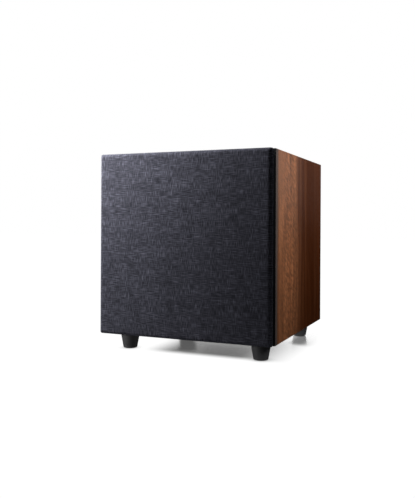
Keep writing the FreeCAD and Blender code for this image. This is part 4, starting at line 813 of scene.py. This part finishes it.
lo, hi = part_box("damping_lining")
TH = 18.0 * MM
pads = [
    wadding(lo[0], lo[0] + TH, lo[1], hi[1], lo[2], hi[2] - 3.5 * MM, 1),
    wadding(hi[0] - TH, hi[0], lo[1], hi[1], lo[2], hi[2] - 3.5 * MM, -1),
    wadding(lo[0] + TH + 5.5 * MM, hi[0] - TH - 5.5 * MM, lo[1], hi[1], hi[2] - TH, hi[2], -3)]
p, f = join_parts(pads)


def fibre_fill(name):
    g = Graph(name)
    strands = g.noise(g.stretch(g.pos, 900.0, 350.0, 900.0), 1.0, 4.0, 0.7, 1.2)
    tufts = g.noise(g.pos, 120.0, 3.0, 0.6, 0.8)
    colour = g.shade((0.60, 0.60, 0.57), g.mul(g.remap(strands, 0.3, 0.7, 0.7, 1.15), g.remap(tufts, 0.3, 0.7, 0.8, 1.1)))
    return g.done(colour, 0.95, 0.0, g.bump(g.add(strands, tufts), 0.0007), Sheen_Weight=0.3)


fill = make_mesh("wadding_pads", p, f, fibre_fill("fibre_fill"))
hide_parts("damping_lining")
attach(fill, "cabinet")

# ---------------------------------------------------------------- printed marks and small inserts on the rear plate

lo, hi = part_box("amp_plate")
PLATE = hi[1]


def flat_bar(cx, cz, length, width, angle, y, thick=0.00004):
    """A thin printed bar on the plate: length runs radially at the angle (0 is up, clockwise seen from behind)."""
    c, s = math.cos(angle), math.sin(angle)
    pts = []
    for yy in (y - 0.00002, y + thick):
        for a, b in ((-1, -1), (1, -1), (1, 1), (-1, 1)):
            u, v = a * width / 2, b * length / 2
            pts.append((cx + u * c + v * s, yy, cz - u * s + v * c))
    faces = [[3, 2, 1, 0], [4, 5, 6, 7], [0, 1, 5, 4], [1, 2, 6, 5], [2, 3, 7, 6], [3, 0, 4, 7]]
    return np.array(pts), np.array(faces)


def ring_strip(cx, cz, r0, r1, a0, a1, y, count=48, thick=0.00004):
    """An arc band printed on the plate."""
    t = np.linspace(a0, a1, count)
    pts = []
    for yy in (y - 0.00002, y + thick):
        for r in (r0, r1):
            pts.append(np.stack([cx + r * np.sin(t), np.full(count, yy), cz + r * np.cos(t)], -1))
    pts = np.vstack(pts)
    quads = []
    n = count
    for i in range(n - 1):
        quads += [[i, i + 1, n + i + 1, n + i], [2 * n + i, 3 * n + i, 3 * n + i + 1, 2 * n + i + 1],
                  [i, 2 * n + i, 2 * n + i + 1, i + 1], [n + i, n + i + 1, 3 * n + i + 1, 3 * n + i]]
    quads += [[0, n, 3 * n, 2 * n], [n - 1, 3 * n - 1, 4 * n - 1, 2 * n - 1]]
    return pts, np.array(quads)


ink_parts = []
for knob in ("volume_knob", "crossover_knob"):
    lo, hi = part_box(knob)
    kx, kz, kr = (lo[0] + hi[0]) / 2, (lo[2] + hi[2]) / 2, (hi[0] - lo[0]) / 2
    for i in range(11):
        a = math.radians(-150 + 30 * i)
        long = 3.2 * MM if i % 5 == 0 else 2.0 * MM
        rr = kr + 2.6 * MM + long / 2
        ink_parts.append(flat_bar(kx + rr * math.sin(a), kz + rr * math.cos(a), long, 0.5 * MM, a, PLATE))
    ink_parts.append(ring_strip(kx, kz, kr + 1.6 * MM, kr + 1.9 * MM, math.radians(-150), math.radians(150), PLATE))


def outline(x0, x1, z0, z1, w, y):
    """A printed rectangle."""
    out = []
    for z in (z0, z1):
        out.append(flat_bar((x0 + x1) / 2, z, w, x1 - x0, 0.0, y))
    for x in (x0, x1):
        out.append(flat_bar(x, (z0 + z1) / 2, z1 - z0 - w, w, 0.0, y))
    return out


for node, grow in (("phase_slider", 7.0), ("mode_slider", 7.5)):
    lo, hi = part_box(node)
    body_lo, body_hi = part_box(node.replace("slider", "switch"))
    cx, cz = (body_lo[0] + body_hi[0]) / 2, (lo[2] + hi[2]) / 2
    for sx in (-1, 1):
        ink_parts.append(flat_bar(cx + sx * (grow + 2.5) * MM, cz, 0.5 * MM, 2.6 * MM, 0.0, PLATE))
        ink_parts.append(ring_strip(cx + sx * (grow + 5.6) * MM, cz, 1.0 * MM, 1.4 * MM, 0.0, 2 * math.pi, PLATE, 25))
jacks_lo, jacks_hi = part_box("rca_jacks")
ink_parts += outline(jacks_lo[0] - 4 * MM, jacks_hi[0] + 4 * MM, jacks_lo[2] - 8 * MM, jacks_hi[2] + 4 * MM, 0.4 * MM, PLATE)
lo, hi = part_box("mains_inlet")
ink_parts += outline(lo[0] - 4 * MM, hi[0] + 4 * MM, lo[2] - 4 * MM, hi[2] + 4 * MM, 0.4 * MM, PLATE)
lo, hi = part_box("power_switch_housing")
cx = (lo[0] + hi[0]) / 2
ink_parts.append(flat_bar(cx, hi[2] + 6 * MM, 4.0 * MM, 0.6 * MM, 0.0, PLATE))
ink_parts.append(ring_strip(cx, lo[2] - 6 * MM, 1.6 * MM, 2.1 * MM, 0.0, 2 * math.pi, PLATE, 31))
lo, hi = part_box("led_lens")
ink_parts.append(ring_strip((lo[0] + hi[0]) / 2, (lo[2] + hi[2]) / 2, 3.9 * MM, 4.3 * MM, 0.0, 2 * math.pi, PLATE, 37))
p, f = join_parts(ink_parts)
ink = make_mesh("plate_marks", p, f, grained("white_ink", (0.62, 0.62, 0.60), 0.55, 0.00001, 0.0004, tone=0.05, speck=0.06), smooth=False)
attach(ink, "cabinet")

for n, (jx, colour) in enumerate((((jacks_lo[0] + 6.2 * MM), (0.70, 0.70, 0.68)), ((jacks_hi[0] - 6.2 * MM), (0.42, 0.02, 0.018)))):
    jz = (jacks_lo[2] + jacks_hi[2]) / 2
    prof = [(1.62, 9.7), (1.62, 10.05), (1.8, 10.16), (2.9, 10.18), (3.1, 10.1), (3.1, 9.7)]
    pts, faces = lathe([(r, -v) for r, v in prof], 48, jx, jz, PLATE)
    ringed = make_mesh("jack_insulator_%d" % (n + 1), pts, faces,
                       grained("jack_plastic_%d" % (n + 1), colour, 0.4, 0.00001, 0.0005, tone=0.05))
    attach(ringed, "cabinet")

for body, knob in (("volume_control", "volume_knob"), ("crossover_control", "crossover_knob")):
    lo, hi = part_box(knob)
    kx, kz = (lo[0] + hi[0]) / 2, (lo[2] + hi[2]) / 2
    top = hi[1]
    L0, L1, w = 3.2 * MM, 9.8 * MM, 0.5 * MM
    pts, faces = [], []
    for yy in (top - 0.55 * MM, top - 0.12 * MM):
        for x, z in ((-w, L0), (w, L0), (w, L1), (-w, L1)):
            pts.append((kx + x, yy, kz + z))
    faces = [[3, 2, 1, 0], [4, 5, 6, 7], [0, 1, 5, 4], [1, 2, 6, 5], [2, 3, 7, 6], [3, 0, 4, 7]]
    pointer = make_mesh(body.split("_")[0] + "_pointer", pts, np.array(faces),
                        grained(body.split("_")[0] + "_pointer_paint", (0.75, 0.75, 0.73), 0.5, 0.00001, 0.0004, tone=0.04), smooth=False)
    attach(pointer, body)


# ---------------------------------------------------------------- floor, light and camera

def floor_finish():
    """Seamless pale floor: white to the eye, greyer where the object shades it, glossy under the cabinet."""
    g = Graph("studio_floor")
    geo = g.node("ShaderNodeNewGeometry")
    x, y, z = g.split(geo.outputs["Position"])
    near = g.node("ShaderNodeAmbientOcclusion", samples=12)
    near.inputs["Distance"].default_value = 0.030
    shade = g.remap(near.outputs["AO"], 0.10, 0.80, 0.40, 1.03)
    grit = g.noise(geo.outputs["Position"], 260.0, 3.0)
    path = g.node("ShaderNodeLightPath")
    eye, diffuse = path.outputs["Is Camera Ray"], path.outputs["Is Diffuse Ray"]
    lo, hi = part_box("bottom_panel")

    def inside(v, a, b, soft):
        return g.math("MULTIPLY", g.remap(v, a - soft, a + soft, 0.0, 1.0, True), g.remap(v, b - soft, b + soft, 1.0, 0.0, True))

    under = g.math("MULTIPLY", inside(x, lo[0], hi[0], 0.03), inside(y, lo[1] + 0.02, hi[1], 0.03))
    ahead = g.math("MULTIPLY", inside(x, -0.36, 0.30, 0.06), inside(y, -0.40, lo[1], 0.03))
    ahead = g.mul(ahead, g.remap(x, -0.25, 0.25, 1.0, 0.30))
    bounce = g.add(FLOOR_BOUNCE, g.add(g.mul(under, UNDER_BOUNCE), g.mul(ahead, NEAR_BOUNCE)))
    level = g.add(g.mul(eye, shade), g.mul(diffuse, bounce))
    level = g.mul(level, g.remap(grit, 0.3, 0.7, 0.998, 1.002))
    glow = g.node("ShaderNodeEmission")
    g.plug(glow.inputs["Color"], (1.0, 1.0, 1.0))
    g.plug(glow.inputs["Strength"], level)
    gloss = g.node("ShaderNodeBsdfGlossy")
    gloss.inputs["Roughness"].default_value = 0.25
    # painted reflection: the far left foot's mirror image, a darker strip drawn on the gloss colour from the foot
    # towards the camera
    flo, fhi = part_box("feet")
    reach = (fhi[2] - flo[2]) * 0.5
    fx, fy = flo[0] + reach, fhi[1] - reach
    ax, ay = 0.4234, -0.9059
    offx, offy = g.add(x, -fx), g.add(y, -fy)
    across = g.add(g.mul(offx, -ay), g.mul(offy, ax))
    along = g.add(g.mul(offx, ax), g.mul(offy, ay))
    painted_foot_reflection = g.math("MULTIPLY", inside(across, -0.018, 0.018, 0.006), inside(along, 0.0, 0.280, 0.012))
    g.plug(gloss.inputs["Color"], g.shade((1.0, 1.0, 1.0), g.math("SUBTRACT", 1.0, g.mul(painted_foot_reflection, 0.62))))
    left = g.remap(x, lo[0] + 0.055, lo[0] + 0.140, 0.0, 1.0, True)
    right = g.remap(x, hi[0] - 0.090, hi[0] + 0.030, 1.0, 0.0, True)
    middle = g.math("MULTIPLY", g.mul(left, right), inside(y, lo[1] + 0.015, hi[1], 0.020))
    corner = g.math("MULTIPLY", inside(x, hi[0] - 0.05, hi[0] + 0.008, 0.022), inside(y, lo[1] + 0.18, hi[1] + 0.03, 0.03))
    mask = g.math("MULTIPLY", g.mul(g.math("MAXIMUM", g.math("MAXIMUM", middle, g.mul(corner, 0.9)), painted_foot_reflection), 0.93), eye)
    both = g.node("ShaderNodeMixShader")
    g.plug(both.inputs[0], mask)
    g.tree.links.new(glow.outputs[0], both.inputs[1])
    g.tree.links.new(gloss.outputs[0], both.inputs[2])
    # seen from below it is clear, so the underside can be looked at
    clear = g.node("ShaderNodeBsdfTransparent")
    sheet = g.node("ShaderNodeMixShader")
    g.plug(sheet.inputs[0], g.math("MULTIPLY", geo.outputs["Backfacing"], eye))
    g.tree.links.new(both.outputs[0], sheet.inputs[1])
    g.tree.links.new(clear.outputs[0], sheet.inputs[2])
    out = g.node("ShaderNodeOutputMaterial")
    g.tree.links.new(sheet.outputs[0], out.inputs["Surface"])
    return g.mat


FLOOR_BOUNCE, UNDER_BOUNCE, NEAR_BOUNCE = 0.04, 1.0, 0.26
span = np.linspace(-8, 8, 5)
gx, gy = np.meshgrid(span, span)
floor = make_mesh("floor", np.stack([gx.ravel(), gy.ravel(), np.zeros(25)], -1), grid_faces(5, 5), floor_finish(), smooth=False)
floor.location.z = -0.0002

AMBIENT, CARD = 0.04, 0.42
world = bpy.data.worlds.new("studio")
bpy.context.scene.world = world
world.use_nodes = True
g = Graph("", world.node_tree)
path = g.node("ShaderNodeLightPath")
sx, sy, sz = g.split(g.co.outputs["Generated"])
# what shiny things mirror: a white wall to the left and behind, a dim card to the right, light overhead
wall = g.mul(g.remap(sx, 0.02, 0.10, 1.0, 0.0, True), g.remap(sz, -0.01, 0.03, 0.0, 1.0, True))
card = g.mul(g.remap(sx, 0.25, 0.29, 0.0, CARD, True), g.remap(sz, -0.05, 0.10, 0.0, 1.0, True))
above = g.remap(sz, 0.40, 0.60, 0.0, 0.8, True)
sky = g.math("MAXIMUM", g.math("MAXIMUM", wall, card), above)
level = g.add(path.outputs["Is Camera Ray"], g.add(g.mul(path.outputs["Is Diffuse Ray"], AMBIENT), g.mul(path.outputs["Is Glossy Ray"], sky)))
bg = g.node("ShaderNodeBackground")
g.plug(bg.inputs["Color"], (1.0, 1.0, 1.0))
g.plug(bg.inputs["Strength"], level)
g.tree.links.new(bg.outputs[0], g.node("ShaderNodeOutputWorld").inputs["Surface"])


def aim(obj, target):
    obj.rotation_euler = (Vector(target) - obj.location).to_track_quat("-Z", "Y").to_euler()


def softbox(name, place, target, w, h, watts, colour=(1, 1, 1)):
    data = bpy.data.lights.new(name, "AREA")
    data.shape, data.size, data.size_y = "RECTANGLE", w, h
    data.energy, data.color = watts, colour
    obj = bpy.data.objects.new(name, data)
    obj.location = place
    aim(obj, target)
    obj.visible_camera = False
    bpy.context.scene.collection.objects.link(obj)
    return obj


def graded_spot(name, place, target, watts, radius, fall_right, fall_down, most=1.3, twist=0.0, bow=0.0):
    """A lamp whose output fades across its beam, as light does from a large source set off to one side."""
    data = bpy.data.lights.new(name, "SPOT")
    data.energy = watts
    data.spot_size, data.spot_blend = math.radians(100), 0.6
    data.shadow_soft_size = radius
    data.use_nodes = True
    g = Graph("", data.node_tree)
    lx, ly, lz = g.split(g.co.outputs["Normal"])
    u = g.math("DIVIDE", lx, g.math("MAXIMUM", g.math("ABSOLUTE", lz), 0.05))
    v = g.math("DIVIDE", ly, g.math("MAXIMUM", g.math("ABSOLUTE", lz), 0.05))
    power = g.add(g.add(g.mul(u, -fall_right), g.mul(v, fall_down)), g.mul(u, g.add(g.mul(v, -twist), g.mul(u, -bow))))
    power = g.math("MINIMUM", power, most)
    glow = g.node("ShaderNodeEmission")
    g.plug(glow.inputs["Strength"], g.math("EXPONENT", power))
    g.tree.links.new(glow.outputs[0], g.node("ShaderNodeOutputLight").inputs["Surface"])
    obj = bpy.data.objects.new(name, data)
    obj.location = place
    aim(obj, target)
    bpy.context.scene.collection.objects.link(obj)
    return obj


def skips(light, *names, state="EXCLUDE"):
    """This light leaves these pieces alone, as a flag on a stand would; INCLUDE makes it reach only them."""
    shaded = bpy.data.collections.new(light.name + "_flag")
    light.light_linking.receiver_collection = shaded
    for n in names:
        shaded.objects.link(bpy.data.objects[n])
    for entry in shaded.collection_objects:
        entry.light_linking.link_state = state


key = graded_spot("key", (-1.28, -0.93, 1.24), (0.0, -0.19, 0.208), 128, 0.04, 24.8, 7.7, 3.0, -16.0, 119.0)
skips(key, "left_side_panel", "top_panel")
side = graded_spot("side", (1.75, -1.10, 1.25), (0.175, 0.0, 0.208), 92, 0.25, 7.5, 9.5, 1.2)
skips(side, "grille_linen", "grille_frame", "top_panel")
low = softbox("low_card", (-0.60, -0.62, 0.10), (-0.13, -0.14, 0.016), 0.4, 0.15, 4.2)
skips(low, "feet", "foot_pads", state="INCLUDE")
softbox("overhead", (0.0, 0.4, 2.4), (0, 0.0, 0.3), 1.4, 1.0, 30)
back = softbox("back_fill", (0.0, 2.5, 1.1), (0, 0.2, 0.2), 1.2, 1.0, 110)
skips(back, "right_side_panel", "left_side_panel", "top_panel", "front_baffle", "grille_linen", "grille_frame", "floor")
softbox("left_fill", (-2.2, 0.2, 1.2), (-0.17, 0, 0.2), 1.2, 1.2, 24)

scene = bpy.context.scene
scene.view_settings.view_transform = "Standard"
scene.view_settings.look = "None"

yaw = math.radians(23.308)
right, fwd, up = Vector((math.cos(yaw), math.sin(yaw), 0)), Vector((-math.sin(yaw), math.cos(yaw), 0)), Vector((0, 0, 1))
base = Matrix((right, up, -fwd)).transposed()
cam_data = bpy.data.cameras.new("camera")
cam_data.sensor_fit, cam_data.sensor_width = "AUTO", 36.0
cam_data.lens = 45.324
cam_data.shift_y = -0.0537
cam_data.clip_end = 60.0
camera = bpy.data.objects.new("camera", cam_data)
scene.collection.objects.link(camera)
camera.matrix_world = Matrix.Translation((0.5016, -1.2315, 0.2515)) @ (base @ Matrix.Rotation(math.radians(0.286), 3, "Z")).to_4x4()
scene.camera = camera
